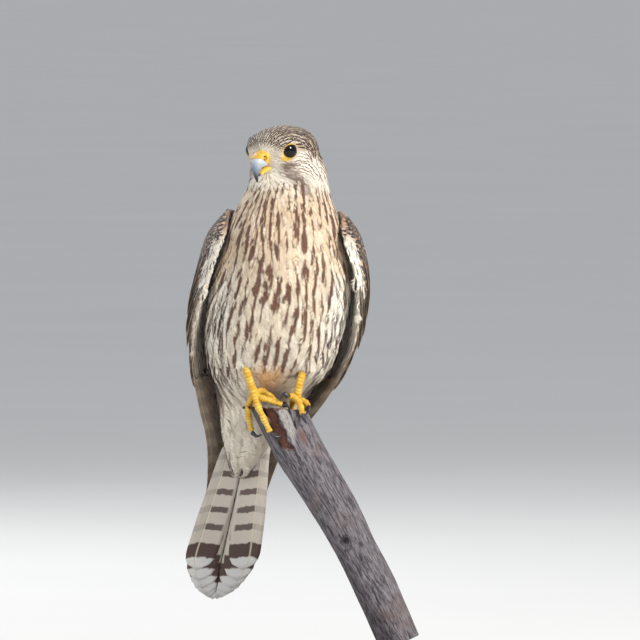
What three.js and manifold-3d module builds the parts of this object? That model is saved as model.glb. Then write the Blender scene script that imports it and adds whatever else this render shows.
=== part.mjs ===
// A common kestrel at rest on the broken end of a leaning branch, life size, on a plain display stand.
// Units are millimetres. +Z is up, the bird faces -Y, and +X is its left. The origin is under the middle of the base.
import * as THREE from "three";
import { mergeVertices } from "three/addons/utils/BufferGeometryUtils.js";
import Module from "manifold-3d";

const wasm = await Module();
wasm.setup();

// Driving sizes
const GAP = 0.3;
const BASE_RADIUS = 82;
const BASE_THICKNESS = 8;
const BASE_BEVEL = 1.5;
const ROD_RADIUS = 5;
const ROD_X = 53.4;
const ROD_Y = -5;
const BRANCH_FOOT_Z = 17;
const EYE_RADIUS = 6.6;
const TOE_RADIUS = 2.35;
const TAIL_ROOT_Z = 150;
const NECK_CUT_Z = 297;
const HEAD_CUT_Z = 313;

// The bird's midline leans to its right from the shoulders down: height, then the midline's x
const MIDLINE = [
  [40, -65.4], [65, -61], [94, -54.7], [118, -49.5], [137, -45.4], [155, -39.2], [172, -34.5],
  [190, -30.5], [205, -27.8], [228, -24.5], [250, -21.5], [268, -20.8], [285, -20], [298, -19], [312, -17.6],
  [325, -18.8], [341, -20.5],
];
// Plumage outline of the trunk: height, half width, front y, back y
const TRUNK = [
  [118, 2, 28, 36], [125, 8, 22, 42], [140, 15, 14.5, 45], [155, 23, 12.5, 46], [166, 29, 12, 45.5],
  [172, 31, 6, 45], [178, 33, -4, 44.4], [185, 35.5, -14, 43.5], [192, 38, -22.5, 42.5], [205, 41.5, -34, 41],
  [228, 43.5, -43, 39], [250, 42, -46, 37], [268, 39, -43.5, 34], [285, 36, -38, 30], [298, 31, -33, 26],
  [310, 26.6, -28.5, 23], [318, 26, -23, 22.5], [325, 24.6, -16, 21.5], [332, 21, -10, 19], [337, 14.5, -4, 15],
  [340, 6, 2, 10],
];
// The branch, from its broken end down: x, y, z on its middle, then its radius
const BRANCH = [
  [-35, -5, 190, 16.6], [-21.3, -5, 161, 16.2], [-11.2, -5, 140.2, 15.9], [1.5, -5, 119, 14.6], [15.3, -5, 96, 14.1],
  [26.2, -5, 75.3, 13.3], [38.6, -5, 50.7, 13.9], [51.5, -5, 21.4, 13.5], [57, -5, 8, 13.4],
];
// Leading edge of a folded wing: share of the way to the tip, height, x out from the midline, y
const WING_LEADING = [
  [0, 291, 30.5, -14], [0.1, 271, 40.5, -26], [0.22, 245, 49, -25], [0.34, 219, 52.5, -16], [0.46, 194, 48.5, -4],
  [0.6, 165, 37, 20], [0.74, 134, 21.5, 43], [1, 72, 13, 62], [1.1, 48, 9, 68],
];
// Trailing edge, on the back: the same columns
const WING_TRAILING = [
  [0, 290, 22.5, 22], [0.1, 268, 22, 37.5], [0.22, 243, 17.5, 44], [0.34, 217, 12.5, 48.5], [0.46, 192, 8, 52],
  [0.6, 163, 6, 57], [0.74, 133, 5.5, 63], [1, 72, 4, 71], [1.1, 48, 4, 75],
];
// How far the folded wing bulges out between its edges, and half the thickness of its leading edge
const WING_BULGE = [
  [0, 9, 5], [0.1, 14, 6.6], [0.22, 15, 6.6], [0.34, 14, 5.4], [0.42, 13, 3.6], [0.5, 10, 2.4], [0.6, 7, 1],
  [0.74, 3, 1], [1, 1, 1],
];
const WING_CORE_END = 0.5;
// How many flight feathers lie side by side across the folded wing, by share of the way to the tip
const FEATHERS_ACROSS = [
  [0.3, 18], [0.5, 18], [0.57, 17.4], [0.61, 15.2], [0.68, 12.4], [0.74, 10.2], [0.82, 7.8], [0.9, 5.4], [0.95, 4.2],
  [1, 3.3], [1.1, 3],
];
// Where each flight feather ends, from the outermost primary to the innermost tertial
const FLIGHT_TIPS = [
  0.93, 1, 0.985, 0.95, 0.9, 0.86, 0.82, 0.78, 0.74, 0.71, 0.68, 0.655, 0.63, 0.61, 0.59, 0.57,
];
const PRIMARIES = 10;
// Reach of a flight feather's vane before and behind its shaft
const PRIMARY_VANE = [4.6, 7.6];
const SECONDARY_VANE = [7, 8];
// Stations at which all feathers of a wing bend alike, the height between two that overlap, and their thickness
const SHEET_STEP = 0.15;
const FEATHER_STEP = 1;
const VANE = 0.6;

// Plain geometry to solid and back

function solidOf(positions, index) {
  const geometry = new THREE.BufferGeometry();
  geometry.setAttribute("position", new THREE.Float32BufferAttribute(positions, 3));
  geometry.setIndex(index);
  return solidFrom(geometry);
}

function solidFrom(source) {
  const geometry = source.clone();
  geometry.deleteAttribute("normal");
  geometry.deleteAttribute("uv");
  const merged = mergeVertices(geometry, 1e-4);
  const vertProperties = new Float32Array(merged.attributes.position.array);
  const triVerts = new Uint32Array(merged.index.array);
  const made = new wasm.Manifold(new wasm.Mesh({ numProp: 3, vertProperties, triVerts }));
  if (made.volume() >= 0) return made;
  for (let i = 0; i < triVerts.length; i += 3) {
    [triVerts[i + 1], triVerts[i + 2]] = [triVerts[i + 2], triVerts[i + 1]];
  }
  return new wasm.Manifold(new wasm.Mesh({ numProp: 3, vertProperties, triVerts }));
}

function largest(solid) {
  return solid.decompose().sort((a, b) => b.volume() - a.volume())[0];
}

function geometryOf(solid) {
  const mesh = solid.getMesh();
  const positions = new Float32Array(mesh.numVert * 3);
  for (let i = 0; i < mesh.numVert; i++) {
    positions.set(mesh.vertProperties.subarray(i * mesh.numProp, i * mesh.numProp + 3), i * 3);
  }
  const geometry = new THREE.BufferGeometry();
  geometry.setAttribute("position", new THREE.BufferAttribute(positions, 3));
  geometry.setIndex(new THREE.BufferAttribute(new Uint32Array(mesh.triVerts), 1));
  geometry.computeVertexNormals();
  return geometry;
}

// The same form swollen a little, to cut the clearance round it
function grown(solid, by = 0.42) {
  const geometry = geometryOf(solid);
  const position = geometry.attributes.position;
  const normal = geometry.attributes.normal;
  for (let i = 0; i < position.count; i++) {
    const p = vec().fromBufferAttribute(position, i).addScaledVector(vec().fromBufferAttribute(normal, i), by);
    position.setXYZ(i, p.x, p.y, p.z);
  }
  return solidFrom(geometry);
}

const join = (solids) => solids.reduce((a, b) => a.add(b));
const vec = (x, y, z) => new THREE.Vector3(x, y, z);

// A closed surface through rings of points, its two ends closed on their centres
function loft(rings) {
  const cols = rings[0].length;
  const positions = [];
  const index = [];
  for (const ring of rings) for (const p of ring) positions.push(p.x, p.y, p.z);
  for (let r = 0; r < rings.length - 1; r++) {
    for (let c = 0; c < cols; c++) {
      const a = r * cols + c;
      const b = r * cols + ((c + 1) % cols);
      index.push(a, b, b + cols, a, b + cols, a + cols);
    }
  }
  for (const [row, first, second] of [[0, 1, 0], [rings.length - 1, 0, 1]]) {
    const centre = rings[row].reduce((sum, p) => sum.add(p), vec(0, 0, 0)).divideScalar(cols);
    const hub = positions.length / 3;
    positions.push(centre.x, centre.y, centre.z);
    for (let c = 0; c < cols; c++) {
      const rim = [row * cols + c, row * cols + ((c + 1) % cols)];
      index.push(hub, rim[first], rim[second]);
    }
  }
  return solidOf(positions, index);
}

// Everything on the side of a plane that its normal points to, within reach of the object
function halfSpace(point, normal) {
  const size = 900;
  const box = new THREE.BoxGeometry(size, size, size).translate(0, 0, size / 2);
  const turn = new THREE.Quaternion().setFromUnitVectors(vec(0, 0, 1), normal.clone().normalize());
  return solidFrom(box.applyQuaternion(turn).translate(point.x, point.y, point.z));
}

// The two sides of a thin cut
function part(solid, point, normal) {
  const up = normal.clone().normalize();
  const above = solid.intersect(halfSpace(point.clone().addScaledVector(up, GAP / 2), up));
  const down = up.clone().negate();
  const below = solid.intersect(halfSpace(point.clone().addScaledVector(down, GAP / 2), down));
  return [largest(above), largest(below)];
}

// Smooth values between the rows of a table whose first column rises
function along(table, key) {
  const last = table.length - 1;
  let i = 0;
  while (i < last - 1 && key > table[i + 1][0]) i++;
  const [low, high] = [table[i], table[i + 1]];
  const span = high[0] - low[0];
  const u = THREE.MathUtils.clamp((key - low[0]) / span, 0, 1);
  const slope = (row, c) => {
    const a = table[Math.max(row - 1, 0)];
    const b = table[Math.min(row + 1, last)];
    return (b[c] - a[c]) / (b[0] - a[0]);
  };
  const value = (c) =>
    (2 * u ** 3 - 3 * u ** 2 + 1) * low[c] + (u ** 3 - 2 * u ** 2 + u) * span * slope(i, c) +
    (3 * u ** 2 - 2 * u ** 3) * high[c] + (u ** 3 - u ** 2) * span * slope(i + 1, c);
  return low.slice(1).map((_, c) => value(c + 1));
}

// A round limb along a smooth line through points, with a radius at each share of its length
function limb(points, radiusAt, sides, steps) {
  const line = new THREE.CatmullRomCurve3(points.map((p) => vec(...p)));
  const frames = line.computeFrenetFrames(steps, false);
  const rings = [];
  for (let i = 0; i <= steps; i++) {
    const share = i / steps;
    const centre = line.getPointAt(share);
    const radius = radiusAt(share);
    const ring = [];
    for (let s = 0; s < sides; s++) {
      const turn = (s / sides) * 2 * Math.PI;
      ring.push(centre.clone()
        .addScaledVector(frames.normals[i], Math.cos(turn) * radius)
        .addScaledVector(frames.binormals[i], Math.sin(turn) * radius));
    }
    rings.push(ring);
  }
  return loft(rings);
}

// Trunk

const midline = (z) => along(MIDLINE, z)[0];

function trunkRing(z, sides) {
  const [halfWidth, front, back] = along(TRUNK, z);
  const ring = [];
  for (let s = 0; s < sides; s++) {
    const turn = (s / sides) * 2 * Math.PI;
    const x = midline(z) + halfWidth * Math.sin(turn);
    const y = (front + back) / 2 - ((back - front) / 2) * Math.cos(turn);
    ring.push(vec(x, y, z));
  }
  return ring;
}

function trunkSolid() {
  const rings = [];
  for (let z = 118; z < 336; z += 11) rings.push(trunkRing(z, 22));
  rings.push(trunkRing(340, 22));
  return loft(rings);
}

// Head, in its own frame: +X to the bill, +Y to the bird's left, +Z up

const HEAD_AT = vec(-23.9, -7, 334.9);
const HEAD_YAW = 32;
const HEAD_PITCH = 13;
const EYE_DIRECTION = vec(0.45, 0.89, 0.03).normalize();
const EYE_AT = vec(9.2, 11.6, -1.1);

function headMatrix() {
  const { degToRad } = THREE.MathUtils;
  const yaw = degToRad(-90 - HEAD_YAW);
  const turn = new THREE.Matrix4().makeRotationZ(yaw);
  const nod = new THREE.Matrix4().makeRotationY(degToRad(HEAD_PITCH));
  return new THREE.Matrix4().makeTranslation(HEAD_AT.x, HEAD_AT.y, HEAD_AT.z).multiply(turn).multiply(nod);
}

const HEAD_FRAME = headMatrix();
const inHead = (solid) => solid.transform(HEAD_FRAME.elements);

const bump = (p, centre, reach) => {
  const d = vec((p.x - centre[0]) / reach[0], (p.y - centre[1]) / reach[1], (p.z - centre[2]) / reach[2]);
  return Math.exp(-d.lengthSq());
};

function skullPoint(direction) {
  const { x, y, z } = direction;
  const ahead = Math.max(x, 0);
  const taper = 1 - 0.42 * ahead ** 3;
  const p = vec(x * (x > 0 ? 24 : 25), y * 21.5 * taper, z * (z > 0 ? 12.9 : 21));
  const side = Math.sign(y) || 1;
  const brow = 1.7 * bump(p, [12.5, side * 15, 6.5], [8, 6, 3.2]);
  const socket = 1.8 * bump(p, [13, side * 17, -1.5], [6, 5, 5]);
  const cheek = 3.2 * bump(p, [-7, side * 19, -9], [11, 9, 8.5]);
  const ear = 3.4 * bump(p, [-15, side * 16, -6], [9, 9, 9]);
  const nape = 1.8 * bump(p, [-21, 0, -4], [9, 14, 10]);
  return p.addScaledVector(direction, brow - socket + cheek + ear + nape);
}

function skullSolid() {
  const sphere = new THREE.SphereGeometry(1, 20, 15);
  const position = sphere.attributes.position;
  for (let i = 0; i < position.count; i++) {
    const p = skullPoint(vec().fromBufferAttribute(position, i).applyAxisAngle(vec(1, 0, 0), Math.PI / 2));
    position.setXYZ(i, p.x, p.y, p.z);
  }
  return solidFrom(sphere);
}

function eyeBall(side, grow = 0) {
  const ball = new THREE.SphereGeometry(EYE_RADIUS + grow, 12, 9);
  return solidFrom(ball.translate(EYE_AT.x, side * EYE_AT.y, EYE_AT.z));
}

const LID_LONG = 1.12;
const LID_HIGH = 0.97;

// The bare ring of skin round the eye, longer than high and widest toward the corner of the mouth
function lidRing(side) {
  const outward = vec(EYE_DIRECTION.x, side * EYE_DIRECTION.y, EYE_DIRECTION.z);
  const up = vec(0, 0, 1).addScaledVector(outward, -outward.z).normalize();
  const ahead = vec().crossVectors(up, outward).multiplyScalar(side).normalize();
  const centre = vec(EYE_AT.x, side * EYE_AT.y, EYE_AT.z);
  const rings = [];
  const steps = 16;
  for (let i = 0; i < steps; i++) {
    const turn = (i / steps) * 2 * Math.PI;
    const toBill = Math.max(Math.cos(turn + 0.45), 0);
    const arm = ahead.clone().multiplyScalar(LID_LONG * Math.cos(turn)).addScaledVector(up, LID_HIGH * Math.sin(turn));
    const inner = [[6.3, 3.2], [5.2, 4.6], [4.3, 5.6], [4.5, 6.1]];
    const profile = [...inner, [5.6 + 1.5 * toBill, 5.5], [6.6 + 2 * toBill, 3.4]];
    rings.push(profile.map(([r, h]) => centre.clone().addScaledVector(arm, r).addScaledVector(outward, h)));
  }
  const cols = rings[0].length;
  const positions = rings.flat().flatMap((p) => [p.x, p.y, p.z]);
  const index = [];
  for (let r = 0; r < steps; r++) {
    for (let c = 0; c < cols; c++) {
      const [a, b] = [r * cols + c, r * cols + ((c + 1) % cols)];
      const [d, e] = [((r + 1) % steps) * cols + c, ((r + 1) % steps) * cols + ((c + 1) % cols)];
      index.push(a, b, e, a, e, d);
    }
  }
  return solidOf(positions, index);
}

// Bill stations from the brow to the hook: centre ahead and up, dip of the axis in degrees, half width, above, below
const UPPER_BILL = [
  [17, -2.2, 0, 6.6, 5, 6], [22, -2.4, 8, 6, 4.9, 6.2], [25.5, -3.2, 20, 5.2, 4.4, 5.6], [28.5, -5, 38, 4.2, 3.6, 4.6],
  [30.3, -7.8, 58, 3.2, 2.8, 3.4], [31, -11, 78, 2.2, 2, 2.3], [30.6, -14.2, 96, 1.3, 1.2, 1.3],
  [29.8, -17.2, 104, 0.35, 0.3, 0.3],
];
const LOWER_BILL = [
  [15, -10.2, 0, 6.2, 1.5, 2.6], [20, -10.6, 4, 5.3, 1.3, 2.5], [24, -11.3, 12, 4, 1, 2.2], [27, -12.3, 24, 2.4, 0.7, 1.5],
  [28.6, -13.2, 30, 0.9, 0.4, 0.6],
];

function billSolid(stations, sides = 14) {
  const rings = stations.map(([ahead, up, dip, halfWidth, above, below]) => {
    const lean = THREE.MathUtils.degToRad(dip);
    const rise = vec(Math.sin(lean), 0, Math.cos(lean));
    return Array.from({ length: sides }, (_, s) => {
      const turn = (s / sides) * 2 * Math.PI;
      const wide = Math.sin(turn) * halfWidth;
      const high = Math.cos(turn);
      return vec(ahead, wide, up).addScaledVector(rise, high * (high > 0 ? above : below));
    });
  });
  return loft(rings);
}

// The pit of one nostril
function nostril(side) {
  const pit = new THREE.SphereGeometry(1.25, 7, 5);
  return inHead(solidFrom(pit.translate(23.8, side * 5.9, -2.1)));
}

// Legs

const LEGS = {
  right: {
    side: -1,
    shank: [[-46.5, -12, 206], [-45.6, -17, 198], [-44, -19.5, 190], [-41.5, -18.5, 182], [-39.4, -16, 176]],
    thigh: [[-44, 2, 226], [-47, -8, 212], [-46.5, -15, 201], [-44.6, -19, 191.5]],
    toes: {
      hallux: [[-38.5, -13.5, 176.5], [-35, -9, 177.5], [-30.5, -7, 175], [-26.5, -6.5, 171.5], [-24, -6, 169.2]],
      inner: [[-39, -16.5, 175.5], [-34.5, -18.5, 173.5], [-30, -18.8, 172.2], [-25.5, -18, 170.6], [-21.8, -17.5, 169.2]],
      middle: [[-39.2, -17, 175], [-37.4, -20.5, 169], [-34.6, -21.8, 163], [-32, -21.4, 157.5], [-29.4, -21, 152]],
      outer: [[-40.2, -15, 175], [-42.6, -11.5, 169.5], [-43.2, -9, 163.5], [-42.4, -8, 157.5], [-41.2, -8.2, 152]],
    },
    claws: {
      hallux: [[-22.8, -5.8, 168.6], [-20, -5.4, 169.6], [-17.6, -5, 167]],
      inner: [[-20.8, -17.5, 168.9], [-18, -18.2, 168.4], [-16.2, -19, 165.4]],
      middle: [[-28.8, -21, 150.9], [-25.6, -21.8, 148.6], [-21.6, -20.4, 149.8]],
      outer: [[-40.9, -8.6, 150.9], [-38, -10.2, 148.8], [-34.4, -12.4, 149.9]],
    },
  },
  left: {
    side: 1,
    shank: [[-5, -8, 202], [-6.8, -12.5, 195], [-9.3, -15.5, 187], [-11.3, -14.5, 179], [-12.4, -12, 172.6]],
    thigh: [[1, 2, 226], [-0.5, -5, 211], [-4, -11, 199], [-8.8, -15, 189]],
    toes: {
      hallux: [[-12.6, -10, 172.2], [-13.4, -4, 171.8], [-14.4, 2, 170.6], [-15.2, 7.5, 168.8], [-15.6, 12, 164.6]],
      inner: [[-12.8, -13, 172.4], [-14, -16.5, 173.8], [-15.6, -18.6, 174.8], [-17.3, -19.8, 174.6]],
      middle: [[-12, -13, 171.8], [-10.8, -17, 170.4], [-9.6, -19.6, 167.4], [-8.6, -20.6, 163.4]],
      outer: [[-11.6, -12, 171.8], [-9, -11.5, 171.4], [-6.8, -12.4, 170.4], [-5, -14, 168.2]],
    },
    claws: {
      hallux: [[-15.7, 12.6, 163.4], [-15.8, 14.2, 160.4], [-15.6, 12.4, 157]],
      inner: [[-18.2, -20.2, 174.8], [-20.8, -21.4, 176], [-23, -21.6, 172.6]],
      middle: [[-8.4, -20.9, 162.4], [-7.4, -21.6, 159.6], [-5.4, -19.6, 157]],
      outer: [[-4.6, -14.6, 167.3], [-4.6, -16.6, 165.4], [-6.4, -17.6, 162.6]],
    },
  },
};

const shankRadius = (share) => 2.5 + 0.5 * Math.exp(-((share - 1) ** 2) / 0.02);
const thighRadius = (share) => 15.5 - 9.5 * share ** 1.4;
const toeRadius = (share) => TOE_RADIUS * (1 - 0.22 * share) + 0.22 * Math.cos(share * 6 * Math.PI);
const clawRadius = (share) => 1.75 * (1 - share) ** 0.75 + 0.15;

const toeSolid = (points) => limb(points, toeRadius, 7, 7);
const clawSolid = (points) => limb(points, clawRadius, 6, 4);

// Folded wings

function sheetPoint(side, s, t) {
  const [frontZ, frontX, frontY] = along(WING_LEADING, s);
  const [backZ, backX, backY] = along(WING_TRAILING, s);
  const lead = vec(midline(frontZ) + side * frontX, frontY, frontZ);
  const trail = vec(midline(backZ) + side * backX, backY, backZ);
  return { lead, trail, chord: trail.clone().sub(lead), at: lead.clone().lerp(trail, t) };
}

// A point on the wing's middle surface and the way out from the body there, straight between shared stations
function wingPoint(side, s, t) {
  const low = Math.floor(s / SHEET_STEP + 1e-6) * SHEET_STEP;
  const share = (s - low) / SHEET_STEP;
  const [a, b] = [curvedWingPoint(side, low, t), curvedWingPoint(side, low + SHEET_STEP, t)];
  return { at: a.at.lerp(b.at, share), out: a.out.lerp(b.out, share).normalize() };
}

function curvedWingPoint(side, s, t) {
  const { chord, at } = sheetPoint(side, s, t);
  const ahead = sheetPoint(side, s + 0.02, t).at.sub(sheetPoint(side, s - 0.02, t).at);
  const out = vec().crossVectors(ahead, chord).multiplyScalar(side).normalize();
  const [bulge] = along(WING_BULGE, s);
  return { at: at.addScaledVector(out, bulge * 4 * t * (1 - t)), out };
}

function wingCore(side, end, inside, outside) {
  const rings = [];
  const steps = Math.round(14 * end);
  const sides = 12;
  for (let i = 0; i <= steps; i++) {
    const s = (i / steps) * end;
    const [, thick] = along(WING_BULGE, s);
    const ring = [];
    const round = Math.sqrt(1 - 0.85 * (1 - Math.min(s / 0.1, 1)) ** 2);
    for (let c = 0; c < sides; c++) {
      const turn = (c / sides) * 2 * Math.PI;
      const t = 0.5 - (Math.cos(turn) / 2) * round;
      const { at, out } = wingPoint(side, s, t);
      const least = Math.sin(turn) > 0 ? outside : inside;
      const body = Math.max(thick * (1 - 0.65 * t), least) * Math.sin(turn) * round;
      ring.push(at.addScaledVector(out, body));
    }
    rings.push(ring);
  }
  return loft(rings);
}

// One feather vane as a thin closed solid: rows of points across it, and the way out at each
function vaneSolid(rows) {
  const cols = rows[0].length;
  const positions = [];
  const index = [];
  for (const face of [0.5, -0.5]) {
    for (const { at, out } of rows.flat()) {
      const p = at.clone().addScaledVector(out, face * VANE);
      positions.push(p.x, p.y, p.z);
    }
  }
  const below = rows.length * cols;
  const end = (rows.length - 1) * cols;
  const quad = (a, b, c, d) => index.push(a, b, c, a, c, d);
  for (let r = 0; r < end; r += cols) {
    for (let a = r; a < r + cols - 1; a++) {
      quad(a, a + 1, a + cols + 1, a + cols);
      quad(below + a, below + a + cols, below + a + cols + 1, below + a + 1);
    }
    const last = r + cols - 1;
    quad(r, r + cols, below + r + cols, below + r);
    quad(last, below + last, below + last + cols, last + cols);
  }
  for (let c = 0; c < cols - 1; c++) {
    quad(c, below + c, below + c + 1, c + 1);
    quad(end + c, end + c + 1, below + end + c + 1, below + end + c);
  }
  return solidOf(positions, index);
}

// Rows of a vane: the shared stations short of its end, then its rounded or pointed end
function vaneStations(from, tip, step, pointed) {
  const ends = pointed
    ? [[0.06, 0.9], [0.02, 0.55], [0, 0.16]]
    : [[0.024, 0.9], [0.007, 0.56], [0, 0.22]];
  const stations = [];
  for (let i = 0; from + i * step < tip - ends[0][0] - 0.015; i++) stations.push([from + i * step, 1]);
  return [...stations, ...ends.map(([short, width]) => [tip - short, width])];
}

// A flight feather of the wing; each lies one step further out than the one before it wherever they overlap
function flightFeather(side, number) {
  const primary = number < PRIMARIES;
  const [ahead, behind] = primary ? PRIMARY_VANE : SECONDARY_VANE;
  const rows = vaneStations(0.45, FLIGHT_TIPS[number], SHEET_STEP, primary).map(([s, width]) => {
    const [across] = along(FEATHERS_ACROSS, s);
    const chord = sheetPoint(side, s, 0).chord.length();
    return [-ahead, 0, behind].map((q) => {
      const t = (number + 0.5) / across + (q * width) / chord;
      const { at, out } = wingPoint(side, s, t);
      return { at: at.addScaledVector(out, FEATHER_STEP * (number + 0.5 - t * across)), out };
    });
  });
  return vaneSolid(rows);
}

// Height of the outer face of the wing's core over its middle surface
function coreHeight(s, t) {
  const [, thick] = along(WING_BULGE, s);
  return thick * (1 - 0.65 * t) * 2 * Math.sqrt(Math.max(t * (1 - t), 0));
}

// A row of coverts: how many, from where to where, the share of the chord they span, their half width and lift
const COVERT_TIERS = [
  { count: 6, from: 0.28, tips: [0.5, 0.475], span: [0.2, 0.97], half: 7.2, lift: [-1.2, 1.6] },
  { count: 3, from: 0.34, tips: [0.545, 0.515], span: [0.03, 0.2], half: 4.4, lift: [-1.2, 1.8] },
  { count: 5, from: 0.13, tips: [0.33, 0.3], span: [0.14, 0.97], half: 8, lift: [-1.2, 2.2] },
  { count: 2, from: 0.24, tips: [0.42, 0.36], span: [-0.01, 0.1], half: 3.6, lift: [-1.2, 2.9] },
];

function covert(side, tier, number) {
  const { count, from, tips, span, half, lift } = tier;
  const share = (number + 0.5) / count;
  const tip = THREE.MathUtils.lerp(tips[0], tips[1], share);
  const centre = THREE.MathUtils.lerp(span[0], span[1], share);
  const spacing = (span[1] - span[0]) / count;
  const rows = vaneStations(from, tip, (tip - from) * 0.55, false).map(([s, width]) => {
    const chord = sheetPoint(side, s, 0).chord.length();
    return [-half, half].map((q) => {
      const aside = (q * width) / chord;
      const { at, out } = wingPoint(side, s, centre + aside);
      const rise = THREE.MathUtils.lerp(lift[0], lift[1], (s - from) / (tip - from));
      const height = Math.max(coreHeight(s, centre), 2) + rise - FEATHER_STEP * (aside / spacing);
      return { at: at.addScaledVector(out, height), out };
    });
  });
  return vaneSolid(rows);
}

function wingSolid(side) {
  const vanes = FLIGHT_TIPS.map((_, number) => flightFeather(side, number));
  for (const tier of COVERT_TIERS) {
    for (let number = 0; number < tier.count; number++) vanes.push(covert(side, tier, number));
  }
  return join([wingCore(side, WING_CORE_END, 0, 0), ...vanes]);
}

// The room the whole wing takes, with its clearance
const wingRoom = (side) => grown(wingCore(side, 1, 4, 3));

// Tail feathers from the middle pair out: where each ends
const TAIL_TIPS = [40.5, 41.6, 44, 48, 53, 60];

function tailFeather(side, number) {
  const tip = TAIL_TIPS[number];
  const level = number === 0 ? (side > 0 ? 0 : 1) : number + 1;
  const stations = [[146, 0.78], [tip + 20, 1], [tip + 8, 0.88], [tip + 2, 0.55], [tip, 0.18]];
  const rows = stations.map(([z, width]) => {
    const spread = THREE.MathUtils.lerp(6, 14.5, THREE.MathUtils.clamp((150 - z) / 90, 0, 1));
    const centre = ((number + 0.5) / 5.5) * spread;
    const inner = number === 0 ? centre - 7 * width : Math.max(0.3, centre - 10 * width);
    return [inner, centre, centre + 10.6 * width].map((x) => {
      const y = 37 + (150 - z) * 0.24 - level * FEATHER_STEP - 0.006 * x * x;
      return { at: vec(midline(z) + side * x, y, z), out: vec(0, 0.97, 0.24) };
    });
  });
  return vaneSolid(rows);
}

function tailFan() {
  const vanes = [];
  for (const side of [-1, 1]) TAIL_TIPS.forEach((_, number) => vanes.push(tailFeather(side, number)));
  return join(vanes);
}

// Perch and stand

const BROKEN_END = vec(-24, -5, 166);

function branchSolid() {
  const sides = 18;
  const steps = 14;
  const line = new THREE.CatmullRomCurve3(BRANCH.map(([x, y, z]) => vec(x, y, z)));
  const rings = [];
  for (let i = 0; i <= steps; i++) {
    const share = i / steps;
    const centre = line.getPoint(share);
    const axis = line.getTangent(share);
    const across = vec(0, 1, 0);
    const other = vec().crossVectors(axis, across);
    const place = share * (BRANCH.length - 1);
    const below = Math.min(Math.floor(place), BRANCH.length - 2);
    const radius = THREE.MathUtils.lerp(BRANCH[below][3], BRANCH[below + 1][3], place - below);
    rings.push(Array.from({ length: sides }, (_, c) => {
      const turn = (c / sides) * 2 * Math.PI;
      const ripple = 0.35 * Math.sin(3 * turn + 5 * share) + 0.25 * Math.sin(7 * turn - 9 * share);
      return centre.clone().addScaledVector(across, Math.cos(turn) * (radius + ripple))
        .addScaledVector(other, Math.sin(turn) * (radius + ripple));
    }));
  }
  const top = halfSpace(BROKEN_END, vec(0.06, 0.05, 1));
  const foot = halfSpace(vec(0, 0, BRANCH_FOOT_Z), vec(0, 0, -1));
  return loft(rings).subtract(top).subtract(foot);
}

function baseSolid() {
  const profile = [
    [0, 0], [BASE_RADIUS - BASE_BEVEL, 0], [BASE_RADIUS, BASE_BEVEL], [BASE_RADIUS, BASE_THICKNESS - BASE_BEVEL],
    [BASE_RADIUS - BASE_BEVEL, BASE_THICKNESS], [0, BASE_THICKNESS],
  ];
  const turned = new THREE.LatheGeometry(profile.map(([r, z]) => new THREE.Vector2(r, z)), 32);
  return solidFrom(turned.rotateX(Math.PI / 2));
}

function rodSolid() {
  const height = BRANCH_FOOT_Z - BASE_THICKNESS - 2 * GAP;
  const rod = new THREE.CylinderGeometry(ROD_RADIUS, ROD_RADIUS, height, 16);
  return solidFrom(rod.rotateX(Math.PI / 2).translate(ROD_X, ROD_Y, BASE_THICKNESS + GAP + height / 2));
}

// The bird is one piece of flesh, parted with thin cuts; every other form is set into it with a clearance.

const colours = {
  plumage: 0xd9c4a4, flight: 0x6f5646, tail: 0xc9b8a2, eye: 0x150d0c, skin: 0xf2b632, horn: 0x9aa6b4, claw: 0x1d1b1f,
  wood: 0x7d7476, base: 0x3b2a20, steel: 0xb8bbc0,
};
const parts = new Map();
const set = (name, solid, material) => parts.set(name, { solid: largest(solid), material });

// Legs, toes and claws, each cut back from the ones set before it
let perch = branchSolid();
let trunk = trunkSolid();
for (const [name, leg] of Object.entries(LEGS)) {
  const shank = limb(leg.shank, shankRadius, 10, 7);
  const thigh = limb(leg.thigh, thighRadius, 12, 5);
  set(`shank_${name}`, shank, "skin");
  set(`thigh_${name}`, thigh.subtract(grown(shank)), "plumage");
  trunk = trunk.subtract(grown(thigh)).subtract(grown(shank));
  const before = [grown(shank)];
  for (const toe of ["middle", "inner", "outer", "hallux"]) {
    const whole = toeSolid(leg.toes[toe]);
    set(`toe_${name}_${toe}`, whole.subtract(join(before)), "skin");
    before.push(grown(whole));
    perch = perch.subtract(grown(whole));
  }
  for (const toe of Object.keys(leg.toes)) {
    const claw = clawSolid(leg.claws[toe]);
    set(`claw_${name}_${toe}`, claw.subtract(join(before)), "claw");
    perch = perch.subtract(grown(claw));
  }
}

// Wings and tail
for (const [name, side] of [["right", -1], ["left", 1]]) {
  set(`wing_${name}`, wingSolid(side), "flight");
  trunk = trunk.subtract(wingRoom(side));
}

// Flesh, parted at the chin, the shoulders and the rump
const flesh = largest(trunk).add(inHead(skullSolid()));
const [headPart, lower] = part(flesh, vec(-20, -4, HEAD_CUT_Z), vec(-0.1, 0.06, 1));
const [neckPart, rest] = part(lower, vec(-19, 0, NECK_CUT_Z), vec(0, 0.05, 1));
const [trunkPart, rump] = part(rest, vec(-40, 30, TAIL_ROOT_Z), vec(0.15, -0.25, 1));

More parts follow.
